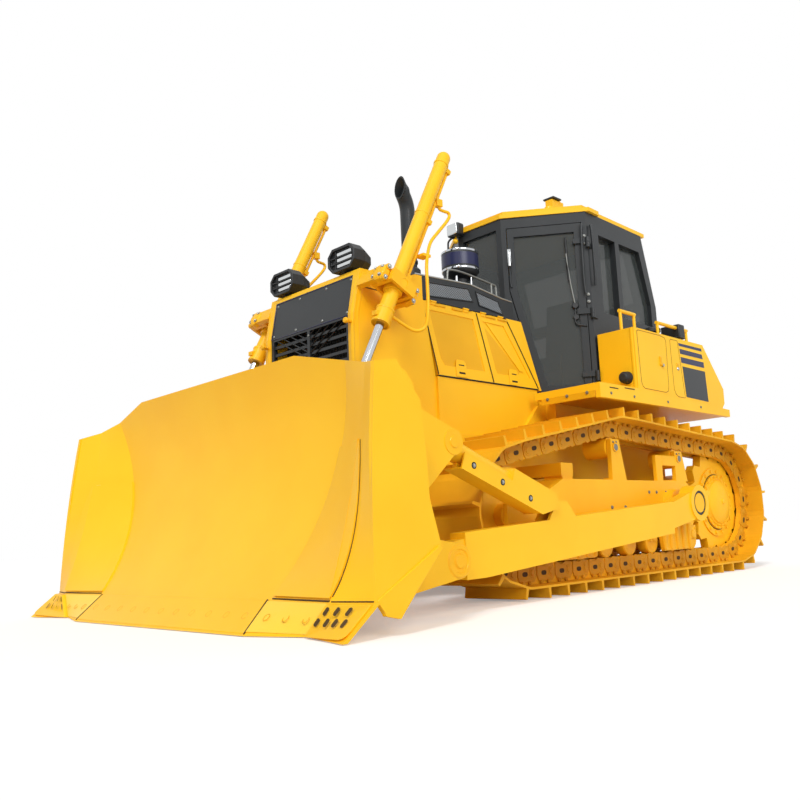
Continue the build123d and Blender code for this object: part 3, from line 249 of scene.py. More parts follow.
# a faint wave bends the sky's reflection, as in rolled glass
cab_tint = tinted("tinted_safety_glass", "#454A49", 0.62)

# %% [markdown]
# ## Dressing the solids
# The table names the CAD nodes that aren't plate sprayed yellow. The rest are.

# %% Finish table
def sided(*names):
    """Both sides' names of each node."""
    return [f"{name}_{side}" for name in names for side in ("left", "right")]


finishes = {
    yellow_cast: [
        "track_frames", "idlers", "final_drives", "bottom_rollers", "carrier_rollers", "pivot_shafts",
        "equalizer_bar", "drawbar", "yoke_brackets", *sided("lift_yoke"),
    ],
    yellow_track: sided("track"),
    satin_black: ["front_mask", "hood_top", "cab_shell", "exhaust_stack", "head_lamps", *sided("cab_door")],
    chrome_rod: ["tilt_rod", *sided("lift_rod")],
    cab_tint: ["cab_glass", *sided("door_glass")],
    plastic: ["air_precleaner", "cab_console"],
    seat_fabric: ["operator_seat"],
    cast_iron: ["engine_block", "trunnion_bushes"],
}
finish_of = {name: finish for finish, names in finishes.items() for name in names}
for name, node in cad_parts.items():
    node.data.materials.clear()
    node.data.materials.append(finish_of.get(name, yellow))
print("yellow nodes:", sorted(set(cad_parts) - set(finish_of)))

# %% [markdown]
# ## Floor, light and camera
# A dozer in a catalogue stands on a plain white floor. The floor is white to the camera, and
# still takes the machine's shadow. Two broad suns model the shapes: the key from the front and
# above, and a softer one that fills the machine's left side.

# %% Floor
floor_mesh = bpy.data.meshes.new("studio_floor")
floor_bm = bmesh.new()
bmesh.ops.create_grid(floor_bm, x_segments=1, y_segments=1, size=60.0,
                      matrix=Matrix.Translation((0, 0, -0.004)))
floor_bm.to_mesh(floor_mesh)
floor_bm.free()
floor = bpy.data.objects.new("studio_floor", floor_mesh)
bpy.context.scene.collection.objects.link(floor)
# matt, with a little light of its own that only the camera sees, so that it fades to white
floor_paint, floor_tree, floor_shader = new_material("matt_white_floor")
camera_ray = add(floor_tree, "ShaderNodeLightPath").outputs["Is Camera Ray"]
wire(floor_shader, Base_Color=paint("#F4F4F4"), Roughness=0.9, Specular_IOR_Level=0.1,
     Emission_Color=(1, 1, 1, 1), Emission_Strength=calc(floor_tree, "MULTIPLY", camera_ray, 0.27))
floor.data.materials.append(floor_paint)
floor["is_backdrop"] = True

# %% World
world = bpy.data.worlds.new("studio_sky")
bpy.context.scene.world = world
world.use_nodes = True
sky = world.node_tree
sky.nodes.clear()
rays = add(sky, "ShaderNodeLightPath").outputs
seen = calc(sky, "MAXIMUM", rays["Is Camera Ray"], rays["Is Transmission Ray"])
shone = calc(sky, "MAXIMUM", seen, rays["Is Glossy Ray"])
background = add(sky, "ShaderNodeBackground", Color=(1, 1, 1, 1), Strength=spread(sky, shone, 0.36, 1.0))
add(sky, "ShaderNodeOutputWorld", Surface=background.outputs[0])

# %% Lights
def sun(name, towards, strength, angle):
    """A sun that shines along the given direction; its angle in degrees softens the shadows."""
    data = bpy.data.lights.new(name, "SUN")
    data.energy = strength
    data.angle = math.radians(angle)
    lamp = bpy.data.objects.new(name, data)
    lamp.rotation_mode = "QUATERNION"
    lamp.rotation_quaternion = Vector(towards).to_track_quat("-Z", "Y")
    bpy.context.scene.collection.objects.link(lamp)


sun("key", (-0.35, 0.7, -0.75), 1.38, 12)
sun("side_fill", (-0.9, 0.35, -0.45), 1.34, 30)

# %% Camera
view = bpy.data.cameras.new("catalogue_view")
view.sensor_width = 36.0
view.lens = 37.33
view.shift_x = -0.0643
view.shift_y = -0.0047
camera = bpy.data.objects.new("catalogue_view", view)
right = Vector((0.71912, 0.69322, -0.04805))
up = Vector((0.1475, -0.08471, 0.98543))
back = Vector((0.67905, -0.71573, -0.16317))
turn = Matrix((right, up, back)).transposed().to_4x4()
camera.matrix_world = Matrix.Translation((4.4676, -4.9145, 0.4279)) @ turn
bpy.context.scene.collection.objects.link(camera)
bpy.context.scene.camera = camera
bpy.context.scene.view_settings.view_transform = "Standard"

# %% [markdown]
# ## Making small parts
# A small part starts as a bmesh: a cube, a cone, a spun profile or an outline that is pushed out.
# These helpers place one form each, so that a part reads as a list of what it is made from.

# %% Shape helpers
def verts_of(geom):
    """The vertices among what an operator returned."""
    return [v for v in geom if isinstance(v, bmesh.types.BMVert)]


def slab(bm, low, high):
    """A block between two corners."""
    size = [abs(b - a) for a, b in zip(low, high)]
    middle = [(a + b) / 2 for a, b in zip(low, high)]
    bmesh.ops.create_cube(bm, size=1.0, matrix=Matrix.Translation(middle) @ Matrix.Diagonal((*size, 1)))


def facing(axis):
    """The turn that brings +Z to an axis."""
    return Vector(axis).to_track_quat("Z", "Y").to_matrix().to_4x4()


def bar(bm, start, end, radius, sides=20, end_radius=None):
    """A round bar between two points, or a taper if an end radius is given."""
    a, b = Vector(start), Vector(end)
    bmesh.ops.create_cone(
        bm, cap_ends=True, segments=sides, radius1=radius,
        radius2=radius if end_radius is None else end_radius,
        depth=(b - a).length, matrix=Matrix.Translation((a + b) / 2) @ facing(b - a))


def turned(bm, profile, centre, axis, steps=28):
    """A profile of (radius, height) points, spun about an axis through the centre."""
    old = set(bm.verts)
    points = [bm.verts.new((radius, 0, height)) for radius, height in profile]
    lines = [bm.edges.new(pair) for pair in zip(points, points[1:])]
    bmesh.ops.spin(bm, geom=points + lines, cent=(0, 0, 0), axis=(0, 0, 1), dvec=(0, 0, 0),
                   angle=2 * math.pi, steps=steps, use_merge=True, use_duplicate=False)
    bmesh.ops.remove_doubles(bm, verts=[v for v in bm.verts if v not in old], dist=1e-6)
    bmesh.ops.transform(bm, matrix=Matrix.Translation(centre) @ facing(axis),
                        verts=[v for v in bm.verts if v not in old])


def extrude(bm, faces, along):
    """Push faces out along a direction; returns what was made."""
    pushed = bmesh.ops.extrude_face_region(bm, geom=faces)["geom"]
    bmesh.ops.translate(bm, vec=Vector(along), verts=verts_of(pushed))
    return pushed


def push_out(bm, corners, along):
    """A flat outline pushed out along a direction."""
    extrude(bm, [bm.faces.new([bm.verts.new(c) for c in corners])], along)


def skin(bm, rows, along):
    """A plate of one thickness laid over a grid of points."""
    grid = [[bm.verts.new(point) for point in row] for row in rows]
    extrude(bm, [bm.faces.new([upper[i], upper[i + 1], lower[i + 1], lower[i]])
                 for upper, lower in zip(grid, grid[1:]) for i in range(len(upper) - 1)], along)


def mirror_x(bm):
    """Copy everything to the machine's other side."""
    double = bmesh.ops.duplicate(bm, geom=bm.verts[:] + bm.edges[:] + bm.faces[:])["geom"]
    bmesh.ops.scale(bm, vec=(-1, 1, 1), verts=verts_of(double))


def bolt(bm, point, axis, width):
    """Hexagon head on a round washer."""
    p, a = Vector(point), Vector(axis).normalized()
    bar(bm, p - a * 0.002, p + a * width * 0.12, width * 0.72, sides=14)
    bar(bm, p, p + a * width * 0.42, width * 0.5, sides=6)
    bar(bm, p + a * width * 0.42, p + a * width * 0.5, width * 0.48, sides=6, end_radius=width * 0.36)


def dome(bm, point, axis, radius):
    """Rounded head of a rivet or a carriage bolt."""
    turned(bm, [(0, radius * 0.55), (radius * 0.5, radius * 0.46), (radius * 0.85, radius * 0.22),
                (radius, -0.002), (0, -0.002)], point, axis, steps=14)


# %% [markdown]
# A list of such forms becomes an object that rides on one of the machine's bodies. What the two
# sides share is written once, for the left side, and mirrored.

# %% Piece helpers
SIDES = (("left", 1), ("right", -1))
X, Z, AHEAD = (1, 0, 0), (0, 0, 1), (0, -1, 0)


def finish_piece(name, bm, material, body, bevel=0.0, flip=False):
    """Turn a bmesh into an object with its finish, riding on a body; flip makes the right side's."""
    if flip:
        bmesh.ops.scale(bm, vec=(-1, 1, 1), verts=bm.verts[:])
    bmesh.ops.recalc_face_normals(bm, faces=bm.faces[:])
    mesh = bpy.data.meshes.new(name)
    bm.to_mesh(mesh)
    bm.free()
    mesh.materials.append(material)
    made = bpy.data.objects.new(name, mesh)
    bpy.context.scene.collection.objects.link(made)
    mesh.shade_smooth()
    mesh.set_sharp_from_angle(angle=math.radians(35))
    if bevel:
        soft = made.modifiers.new("edge", "BEVEL")
        soft.width = bevel
        soft.segments = 2
        soft.limit_method = "ANGLE"
    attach(made, body)
    print(name, len(mesh.polygons), "faces")
    return made


def piece(name, material, parts, body="chassis", bevel=0.0, flip=False):
    """A piece from its parts, each a function from above with its arguments."""
    bm = bmesh.new()
    for make, *values in parts:
        make(bm, *values)
    return finish_piece(name, bm, material, body, bevel, flip)


def pair(name, material, parts, body="chassis", bevel=0.0):
    """The left side's parts on both sides; {} in the body's name stands for the side."""
    for side, sign in SIDES:
        piece(f"{name}_{side}", material, parts, body.format(side), bevel, sign < 0)


def flat(outline, x, thick):
    """A plate that faces sideways: a (y, z) outline at x."""
    return push_out, [(x, y, z) for y, z in outline], (thick, 0, 0)


def rod_curve(name, runs, radius, round_bends=True):
    """A curve of one thickness along each run of points."""
    curve = bpy.data.curves.new(name, "CURVE")
    curve.dimensions = "3D"
    curve.bevel_depth = radius
    curve.bevel_resolution = 3
    for run in runs:
        spline = curve.splines.new("NURBS" if round_bends else "POLY")
        spline.points.add(len(run) - 1)
        for point, where in zip(spline.points, run):
            point.co = (*where, 1)
        if round_bends:
            spline.order_u = 3
            spline.use_endpoint_u = True
    return curve


def rod(name, material, runs, radius, body="chassis", round_bends=True):
    """A rod or pipe that rides on a body."""
    curve = rod_curve(name, runs, radius, round_bends)
    curve.use_fill_caps = True
    curve.materials.append(material)
    made = bpy.data.objects.new(name, curve)
    bpy.context.scene.collection.objects.link(made)
    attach(made, body)


def seam(*values):
    """A thin rod that turns sharply at each of its points."""
    rod(*values, round_bends=False)


def line_pair(make, name, material, runs, radius, body="chassis"):
    """The left side's rod or seam on both sides."""
    for side, sign in SIDES:
        mirrored = [[(sign * x, y, z) for x, y, z in run] for run in runs]
        make(f"{name}_{side}", material, mirrored, radius, body.format(side))


def touch(node, start, towards):
    """Where a ray meets a solid, and which way its surface faces there."""
    hit, point, normal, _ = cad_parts[node].ray_cast(Vector(start), Vector(towards).normalized())
    if not hit:
        raise ValueError(f"{node} isn't met from {start}")
    return point, normal


def around(centre, radius, angle):
    """A point on an upright circle that faces sideways."""
    x, y, z = centre
    return Vector((x, y + radius * math.cos(angle), z + radius * math.sin(angle)))


def slot_rim(ends, along, across, radius):
    """The outline of a slot with round ends: the end that lies further along comes first."""
    turns = [(end, math.radians(start + 45 * k)) for end, start in zip(ends, (-90, 90)) for k in range(5)]
    return [end + (along * math.cos(a) + across * math.sin(a)) * radius for end, a in turns]


bpy.context.view_layer.update()

# %% [markdown]
# ## Blade
# The moldboard carries bolted wear parts: edge plates, and at each corner an end bit that slots
# let slide down as it wears. Each plate is its outline pushed out along the edge's slope, with a
# narrow gap to its neighbour, because the gap is what the eye reads.

# %% Cutting edge plates and end bits
inner_top, inner_low = (0.929, -2.553, 0.15), (0.956, -2.706, 0.006)
joint_top, joint_low = (1.448, -2.583, 0.15), (1.316, -2.612, 0.001)
tip_top, tip_low = (1.696, -2.526, 0.15), (1.696, -2.694, 0.014)
centre_bar = [(-x, y, z) for x, y, z in (inner_top, inner_low)] + [inner_low, inner_top]
middle_bar = [inner_top, inner_low, joint_low, joint_top]
outer_bar = [joint_top, joint_low, tip_low, tip_top]
bolt_circle = [(0.0165, -0.001), (0.018, 0.001), (0.0205, 0.001), (0.022, -0.001)]


def edge_point(corners, across, down, out=0.0):
    """A point on a sloping edge bar: across and down run from 0 to 1, out is off its face."""
    top_in, bottom_in, bottom_out, top_out = (Vector(c) for c in corners)
    upper = top_in.lerp(top_out, across)
    lower = bottom_in.lerp(bottom_out, across)
    normal = (bottom_in - top_in).cross(top_out - top_in).normalized()
    if normal.y > 0:
        normal = -normal
    return upper.lerp(lower, down) + normal * out


def edge_out(corners, distance=1.0):
    """The way an edge bar faces, with a length."""
    return edge_point(corners, 0.5, 0.5, distance) - edge_point(corners, 0.5, 0.5)


def on_edge(across, down, out):
    """A point laid on the middle plate's own solid, found from in front of it."""
    start = edge_point(middle_bar, across, down, 0.08)
    towards = -edge_out(middle_bar).normalized()
    hits = [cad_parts[node].ray_cast(start, towards) for node in ("cutting_edge", "blade")]
    spots = [hit[1] for hit in hits if hit[0] and (hit[1] - start).length < 0.12]
    spot = min(spots, key=lambda p: (p - start).length) if spots else edge_point(middle_bar, across, down)
    return spot - towards * out


outline = [(0.004, 0.02), (0.996, 0.02), (0.996, 0.98), (0.004, 0.98)]
piece("edge_centre_plate", yellow, [
    (push_out, [edge_point(centre_bar, u, v) for u, v in outline], edge_out(centre_bar, 0.006)),
], "blade", 0.002)
# painted shade: a thin darker ring marks each bolt's outline
piece("centre_bolt_rings", painted_shade_yellow, [
    (turned, bolt_circle, edge_point(centre_bar, 0.05 + 0.9 * i / 10, 0.5, 0.006), edge_out(centre_bar), 22)
    for i in range(11)
], "blade")
middle_out = edge_out(middle_bar).normalized()
rows = [[on_edge(u, v, 0.0005) for u in (0.012, 0.25, 0.5, 0.75, 0.985)] for v in (0.03, 0.3, 0.6, 0.94)]
# painted highlight: the middle edge plates are painted lighter yellow
pair("edge_middle_plate", painted_highlight_yellow, [(skin, rows, middle_out * 0.005)], "blade", 0.002)
pair("edge_bolt_rings", painted_shade_yellow, [
    (turned, bolt_circle, on_edge(across, 0.52, 0.0072), middle_out, 22) for across in (0.2, 0.52, 0.84)
], "blade")

outline = [(0.01, 0.03), (0.985, 0.03), (0.985, 0.74), (0.972, 0.86), (0.93, 0.94), (0.86, 0.975), (0.01, 0.985)]
pair("end_bit", yellow, [
    (push_out, [edge_point(outer_bar, u, v, -0.004) for u, v in outline], edge_out(outer_bar, 0.026)),
], "blade", 0.003)
# painted shade: each slot is a thin dark inlay for the shade in its hollow
slots = []
for down, places in ((0.22, (0.12, 0.36, 0.63)), (0.54, (0.08, 0.31, 0.51, 0.72))):
    for across in places:
        ends = [edge_point(outer_bar, across, down + shift, 0.0225) for shift in (0.07, -0.07)]
        along = (ends[0] - ends[1]).normalized()
        rim = slot_rim(ends, along, edge_out(outer_bar).cross(along).normalized(), 0.0085)
        slots.append((push_out, rim, edge_out(outer_bar).normalized() * 0.0012))
pair("end_bit_slots", painted_seam_shade, slots, "blade")

# %% [markdown]
# ## Seams of the blade
# Plates that meet leave a line of shade, painted here as a dark line. A line is a thin rod that follows the face,
# half sunk in it:
# each of its points is found by sending a ray at the solid, so that it lies on the real curve.

# %% Wear plates, seams, pin caps and skirts
wing_low, wing_tall = 0.172, 0.718


def on_face(x, z, sink=0.0):
    """A point on the blade's front, seen from straight ahead."""
    return touch("blade", (x, -3.2, z), (0, 1, 0))[0] + Vector((0, sink, 0))


def wing_edge(z):
    """How far out the wear plate's curved outer edge is at a height."""
    rise = (z - wing_low) / wing_tall
    return 1.4555 + 0.0165 * rise + 0.072 * math.sin(math.pi * rise) ** 0.8


def wing_row(z):
    """The wear plate's two edges at a height; the outer one lies level with the inner one's step."""
    fold = 1.4525 + 0.0165 * (z - wing_low) / wing_tall
    step = on_face(fold - 0.006, z).y - on_face(fold + 0.006, z).y
    return [on_face(fold - 0.012, z), on_face(wing_edge(z) - 0.002, z, step - 0.001)]


pair("wing_wear_plate", yellow,
     [(skin, [wing_row(0.178 + 0.704 * k / 15) for k in range(16)], (0, 0.012, 0))], "blade")
for side, sign in SIDES:
    wing = [on_face(sign * wing_edge(z), z, 0.002) for z in
            (0.176, 0.22, 0.26, 0.31, 0.36, 0.42, 0.47, 0.53, 0.58, 0.64, 0.69, 0.74, 0.8, 0.84, 0.87, 0.885)]
    top = [on_face(sign * x, 0.885, 0.001) for x in (1.4, 1.43, 1.468)]
    head = [on_face(sign * x, 0.158, -0.001) for x in (0.962, 1.1, 1.25, 1.4, 1.448)]
    corner = [on_face(sign * x, 0.156, -0.001) for x in (1.46, 1.55, 1.64, 1.688)]
    joint = [(sign * p.x, p.y, p.z) for p in (edge_point(middle_bar, 0.0, v, 0.004) for v in (0.0, 0.5, 1.0))]
    # painted highlight: a light rod along the wing's top edge
    seam(f"wing_top_edge_{side}", painted_highlight_yellow, [top], 0.0035, "blade")
    seam(f"wing_seams_{side}", painted_seam_shade, [wing, head, joint], 0.0042, "blade")
    seam(f"end_bit_seam_{side}", painted_seam_shade, [corner], 0.003, "blade")

pair("pin_caps", yellow_cast, [
    (turned, [(0, 0.012), (0.034, 0.012), (0.038, 0.008), (0.042, 0.002), (0.06, 0.002), (0.064, 0.008),
              (0.082, 0.008), (0.09, 0.0), (0.09, -0.004), (0, -0.004)], (1.4, -1.68, 0.282), X, 40),
    (turned, [(0, 0.01), (0.03, 0.01), (0.034, 0.004), (0.05, 0.004), (0.07, 0.004), (0.072, -0.002),
              (0, -0.002)], (1.4, -1.682, 0.916), X, 36),
], "blade")
skirt = [(-2.495, 0.172), (-2.12, 0.378), (-2.103, 0.36), (-2.384, 0.074), (-2.468, 0.094), (-2.516, 0.158)]
pair("end_skirt", yellow, [flat(skirt, 1.6995, -0.03)], "blade", 0.003)

# %% [markdown]
# ## Radiator guard
# Under the plain dark panel, expanded steel mesh keeps branches out of the radiator. Its strands
# cross on a slant, so each strand is a thin bar between two edges of its window.

# %% Mesh, panel screws and latches
mesh_low, mesh_high, mesh_step = 1.162, 1.83, 0.043


def strand(bm, x0, x1, start, slope, y):
    """One slanted strand, kept between the edges of its window."""
    ends = []
    for x in (x0, x1):
        z = start + slope * (x - x0)
        if not mesh_low <= z <= mesh_high:
            z = min(max(z, mesh_low), mesh_high)
            x = x0 + (z - start) / slope
        ends.append(Vector((x, y, z)))
    long_enough = (ends[1] - ends[0]).length > 0.02
    if long_enough and x0 <= min(e.x for e in ends) and max(e.x for e in ends) <= x1:
        bar(bm, ends[0], ends[1], 0.0042, sides=4)


mask_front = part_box("front_mask")[0][1]
piece("grille_mesh", satin_black, [
    (strand, x0, x1, mesh_low + i * mesh_step, slope, mask_front + 0.004)
    for x0, x1 in ((-0.407, -0.014), (0.014, 0.407)) for slope in (0.52, -0.52) for i in range(-6, 20)
])
piece("mask_screws", zinc_dull, [
    (dome, *touch("front_mask", (x, -2.2, z), (0, 1, 0)), 0.011)
    for x in (-0.412, -0.15, 0.15, 0.412) for z in (2.102, 1.872)
] + [(dome, (0, mask_front, z), AHEAD, 0.01) for z in (1.34, 1.58, 1.8)])
# the rim's rays start a little inside the panel's edge, where they can't miss it
rim = [touch("front_mask", (x * 0.999, -2.2, z), (0, 1, 0))[0]
       for x, z in ((-0.435, 2.1245), (0.435, 2.1245), (0.435, 1.85), (-0.435, 1.85))]
seam("mask_panel_rim", navy_film, [rim + rim[:1]], 0.0045)
piece("mask_latches", yellow_cast, [
    part for x in (-0.468, 0.468) for part in (
        (bar, (x, -1.592, 1.8), (x, -1.64, 1.8), 0.013),
        (bar, (x, -1.612, 1.8), (x * 0.93, -1.622, 1.802), 0.01),
        (turned, [(0, 0.014), (0.016, 0.011), (0.02, 0.0), (0.016, -0.01), (0, -0.012)],
         (x, -1.642, 1.8), AHEAD))
])

# %% [markdown]
# ## Guard corners
# The guard's front corners are rolled from thick plate. A tall round bar that leans in with the
# guard's slope gives each corner the long soft highlight that rolled plate has.

# %% Rolled corners and the side seam
piece("guard_rolled_corners", yellow, [
    (bar, (0.466, -1.566, 1.0), (0.466, -1.566, 1.85), 0.036, 28),
    (bar, (0.466, -1.566, 1.85), (0.466, -1.504, 2.135), 0.036, 28),
    (turned, [(0, 0.036), (0.02, 0.03), (0.033, 0.014), (0.036, 0), (0.033, -0.014), (0, -0.036)],
     (0.466, -1.566, 1.85), Z),
    (mirror_x,),
])
# painted shade: a dark rod along the guard's side seam
seam("guard_side_seam", painted_seam_shade,
     [[touch("radiator_guard", (sign * 0.9, y, 2.035), (-sign, 0, 0))[0] for y in (-1.53, -1.42, -1.3, -1.19)]
      for side, sign in SIDES], 0.0035)

# %% [markdown]
# ## Head lamps
# Each lamp is a moulded eight-sided housing that narrows to the rear, with three reflectors one
# above the other in a sunk face. The housing is one outline, inset and pushed both ways.

# %% Lamps
def lamp_housing(bm, x, low_z):
    """Eight-sided housing with its sunk front, open towards the blade."""
    half, tall, cut = 0.139, 0.168, 0.048
    ring = [(-half + cut, 0), (half - cut, 0), (half, cut), (half, tall - cut), (half - cut, tall),
            (-half + cut, tall), (-half, tall - cut), (-half, cut)]
    front = bm.faces.new([bm.verts.new((x + a, -1.566, low_z + b)) for a, b in ring])
    shell = extrude(bm, [front], (0, 0.095, 0))
    rear = extrude(bm, [f for f in shell if isinstance(f, bmesh.types.BMFace)], (0, 0.085, 0))
    bmesh.ops.scale(bm, vec=(0.72, 1, 0.68), space=Matrix.Translation((-x, 0, -low_z - 0.05)),
                    verts=verts_of(rear))
    front = min((f for f in bm.faces if abs(f.normal.y) > 0.9), key=lambda f: f.calc_center_median().y)
    bmesh.ops.inset_region(bm, faces=[front], thickness=0.02, depth=0.0)
    extrude(bm, [front], (0, 0.02, 0))
    bmesh.ops.delete(bm, geom=[front], context="FACES_ONLY")
    slab(bm, (x - 0.04, -1.5, 2.15), (x + 0.04, -1.42, low_z + 0.012))


for side, x in (("left", 0.339), ("right", -0.339)):
    housing = piece(f"lamp_housing_{side}", plastic, [(lamp_housing, x, 2.178)], bevel=0.003)
    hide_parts("head_lamps")
    piece(f"lamp_reflectors_{side}", lamp_silver, [
        (slab, (x - 0.052, -1.556, z), (x + 0.098, -1.546, z + 0.026)) for z in (2.206, 2.246, 2.286)
    ], bevel=0.004)
    piece(f"lamp_dividers_{side}", plastic, [
        (slab, (x - 0.115, -1.56, z), (x + 0.115, -1.546, z + 0.006)) for z in (2.236, 2.276)
    ] + [(slab, (x - 0.062, -1.56, 2.198), (x - 0.056, -1.546, 2.32))])

# %% [markdown]
# ## Lift cylinders
# A yoke holds each barrel between two bearings with bolted caps. Oil reaches the head of the
# barrel through a steel pipe that stands off its side in a loop; it is one bent rod.

# %% Bearing caps, rings and pipe loop
yoke = Vector((0.695, -1.417, 2.01))
lift_dir = Vector((0, 0.4468903, 0.8945888))
yoke_dir = Vector((0, 0.8945888, -0.4468903))
caps, cap_bolts = [], []
for s in (-1, 1):
    caps.append((turned, [(0, 0.012), (0.04, 0.012), (0.052, 0.008), (0.0615, 0.0), (0.0615, -0.004),
                          (0, -0.004)], yoke + yoke_dir * s * 0.15, yoke_dir * s, 28))
    for turn in (45, 135, 225, 315):
        a = math.radians(turn)
        spot = yoke + yoke_dir * s * 0.158 + Vector((math.cos(a) * 0.044, 0, 0)) + lift_dir * math.sin(a) * 0.044
        cap_bolts.append((bolt, spot, yoke_dir * s, 0.02))
    for shift in (-0.042, 0.042):
        foot = yoke + yoke_dir * s * 0.131 + lift_dir * shift
        caps.append((bar, foot + Vector((0.022, 0, 0)), foot + Vector((0.066, 0, 0)), 0.02, 16))
        cap_bolts.append((bolt, foot + Vector((0.066, 0, 0)), X, 0.022))
pair("bearing_caps", yellow_cast, caps, bevel=0.002)
pair("bearing_bolts", zinc_bolt, cap_bolts)
pair("barrel_rings", yellow, [
    (turned, [(0.0495, -0.01), (radius, -0.008), (radius + 0.0012, 0), (radius, 0.008), (0.0495, 0.01)],
     yoke + lift_dir * along, lift_dir, 32)
    for along, radius in ((-0.296, 0.0605), (-0.196, 0.0605), (0.62, 0.052), (1.09, 0.053))
] + [(slab, (0.672, -1.6, 1.79), (0.718, -1.56, 1.82))], "barrel_{}", 0.001)

loop = [(0.695, -0.979, 2.689), (0.695, -0.976, 2.645), (0.699, -0.93, 2.64), (0.705, -0.884, 2.64),
        (0.707, -0.88, 2.6), (0.707, -1.012, 2.46), (0.715, -1.097, 2.372), (0.745, -1.158, 2.255),
        (0.77, -1.196, 2.168), (0.78, -1.204, 2.05), (0.78, -1.204, 1.93), (0.775, -1.208, 1.817),
        (0.755, -1.212, 1.75), (0.725, -1.275, 1.722), (0.705, -1.36, 1.76), (0.695, -1.455, 1.806)]
line_pair(rod, "pipe_loop", yellow, [loop], 0.0115, "barrel_{}")
pair("pipe_clamps", yellow, [
    (slab, (0.672, -1.01, 2.66), (0.718, -0.955, 2.712)),
    (slab, (0.676, -1.2, 2.248), (0.752, -1.13, 2.268)),
    (bar, (0.695, -1.455, 1.806), (0.695, -1.51, 1.832), 0.019, 18),
], "barrel_{}", 0.002)

# %% [markdown]
# ## Hood, exhaust and pre-cleaner
# The black strips along the hood's top hold woven steel screens, and a thin rail runs above them.
# The exhaust is one pipe bent forward: a curve gives the bend, turned into a mesh and cut upright.

# %% Hood screens and rail
pair("hood_screens", woven_screen, [
    flat([(-0.856, 2.205), (-0.424, 2.232), (-0.384, 2.15), (-0.838, 2.114)], 0.4285, 0.005),
    flat([(-0.332, 2.226), (-0.088, 2.192), (-0.04, 2.104), (-0.3, 2.134)], 0.4285, 0.005),
], bevel=0.002)
line_pair(seam, "screen_frames", satin_black, [
    [(0.432, y, z) for y, z in window + window[:1]]
    for window in ([(-0.862, 2.211), (-0.42, 2.239), (-0.378, 2.144), (-0.844, 2.108)],
                   [(-0.338, 2.232), (-0.084, 2.198), (-0.032, 2.098), (-0.304, 2.128)])
], 0.006)
# painted highlight: a bright zinc rod along the hood's top edge stands for the highlight there
line_pair(seam, "hood_top_edge", zinc_bolt, [
    [(0.428, y, z) for y, z in ((-0.97, 2.252), (-0.394, 2.281), (-0.022, 2.232), (0.09, 2.226))]
], 0.0065)
line_pair(rod, "hood_rail", zinc_dull, [
    [(0.35, y, z) for y, z in run] for run in (
        ((-0.56, 2.285), (-0.556, 2.38), (-0.52, 2.392), (-0.394, 2.4), (-0.06, 2.368), (-0.004, 2.362),
         (0.0, 2.34), (0.004, 2.245)),
        ((-0.055, 2.25), (-0.055, 2.366)))
], 0.0085)

# %% Exhaust pipe
foot = Vector((0.13, -0.73, 0))
path = [foot + Vector((0, 0, z)) for z in (2.29, 2.6, 2.8)]
path += [(0.133, -0.735, 2.912), (0.148, -0.792, 2.99), (0.18, -0.93, 3.142)]
curve = rod_curve("pipe_guide", [path], 0.057)
curve.bevel_resolution = 10
curve.resolution_u = 20
guide = bpy.data.objects.new("pipe_guide", curve)
bm = bmesh.new()
bm.from_mesh(bpy.data.meshes.new_from_object(guide))
bpy.data.objects.remove(guide)
bmesh.ops.remove_doubles(bm, verts=bm.verts[:], dist=0.0002)
cut_y = -0.828
bmesh.ops.bisect_plane(bm, geom=bm.verts[:] + bm.edges[:] + bm.faces[:], plane_co=(0, cut_y, 0),
                       plane_no=AHEAD, clear_outer=True)


def open_edges(test):
    """Edges with a face on one side only, whose two ends pass a test."""
    return [e for e in bm.edges if e.is_boundary and all(test(v) for v in e.verts)]


# the cut edge turns inwards to a lip, and the lip runs down into a closed bore
mouth = open_edges(lambda v: abs(v.co.y - cut_y) < 0.001)
rim = verts_of(bmesh.ops.extrude_edge_only(bm, edges=mouth)["geom"])
centre = sum((v.co for v in rim), Vector()) / len(rim)
bmesh.ops.scale(bm, vec=(0.88, 1, 0.88), space=Matrix.Translation(-centre), verts=rim)
deep = verts_of(bmesh.ops.extrude_edge_only(bm, edges=open_edges(lambda v: v in rim))["geom"])
bmesh.ops.translate(bm, vec=(0, 0.055, -0.05), verts=deep)
bmesh.ops.holes_fill(bm, edges=open_edges(lambda v: v in deep))
stack = finish_piece("exhaust_pipe", bm, satin_black, "chassis")
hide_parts("exhaust_stack")
stack.data.materials.append(deep_shade)
for face in stack.data.polygons:
    near = all((stack.data.vertices[i].co - centre).length < 0.115 for i in face.vertices)
    if near and face.center.y > cut_y + 0.002 and len(face.vertices) > 4:
        face.material_index = 1

piece("exhaust_base", satin_black, [
    (turned, [(0, -0.002), (0.095, -0.002), (0.095, 0.012), (0.084, 0.02), (0.082, 0.104), (0.07, 0.118),
              (0.056, 0.124), (0, 0.124)], (0.13, -0.73, 2.292), Z),
    (turned, [(0.052, -0.012), (0.064, -0.01), (0.064, 0.01), (0.052, 0.012)], (0.13, -0.73, 2.46), Z),
])

# %% Air pre-cleaner
def on_bowl(radius, degrees, z):
    """A point about the pre-cleaner's upright axis."""
    a = math.radians(degrees)
    return 0.12 + radius * math.cos(a), -0.155 + radius * math.sin(a), z


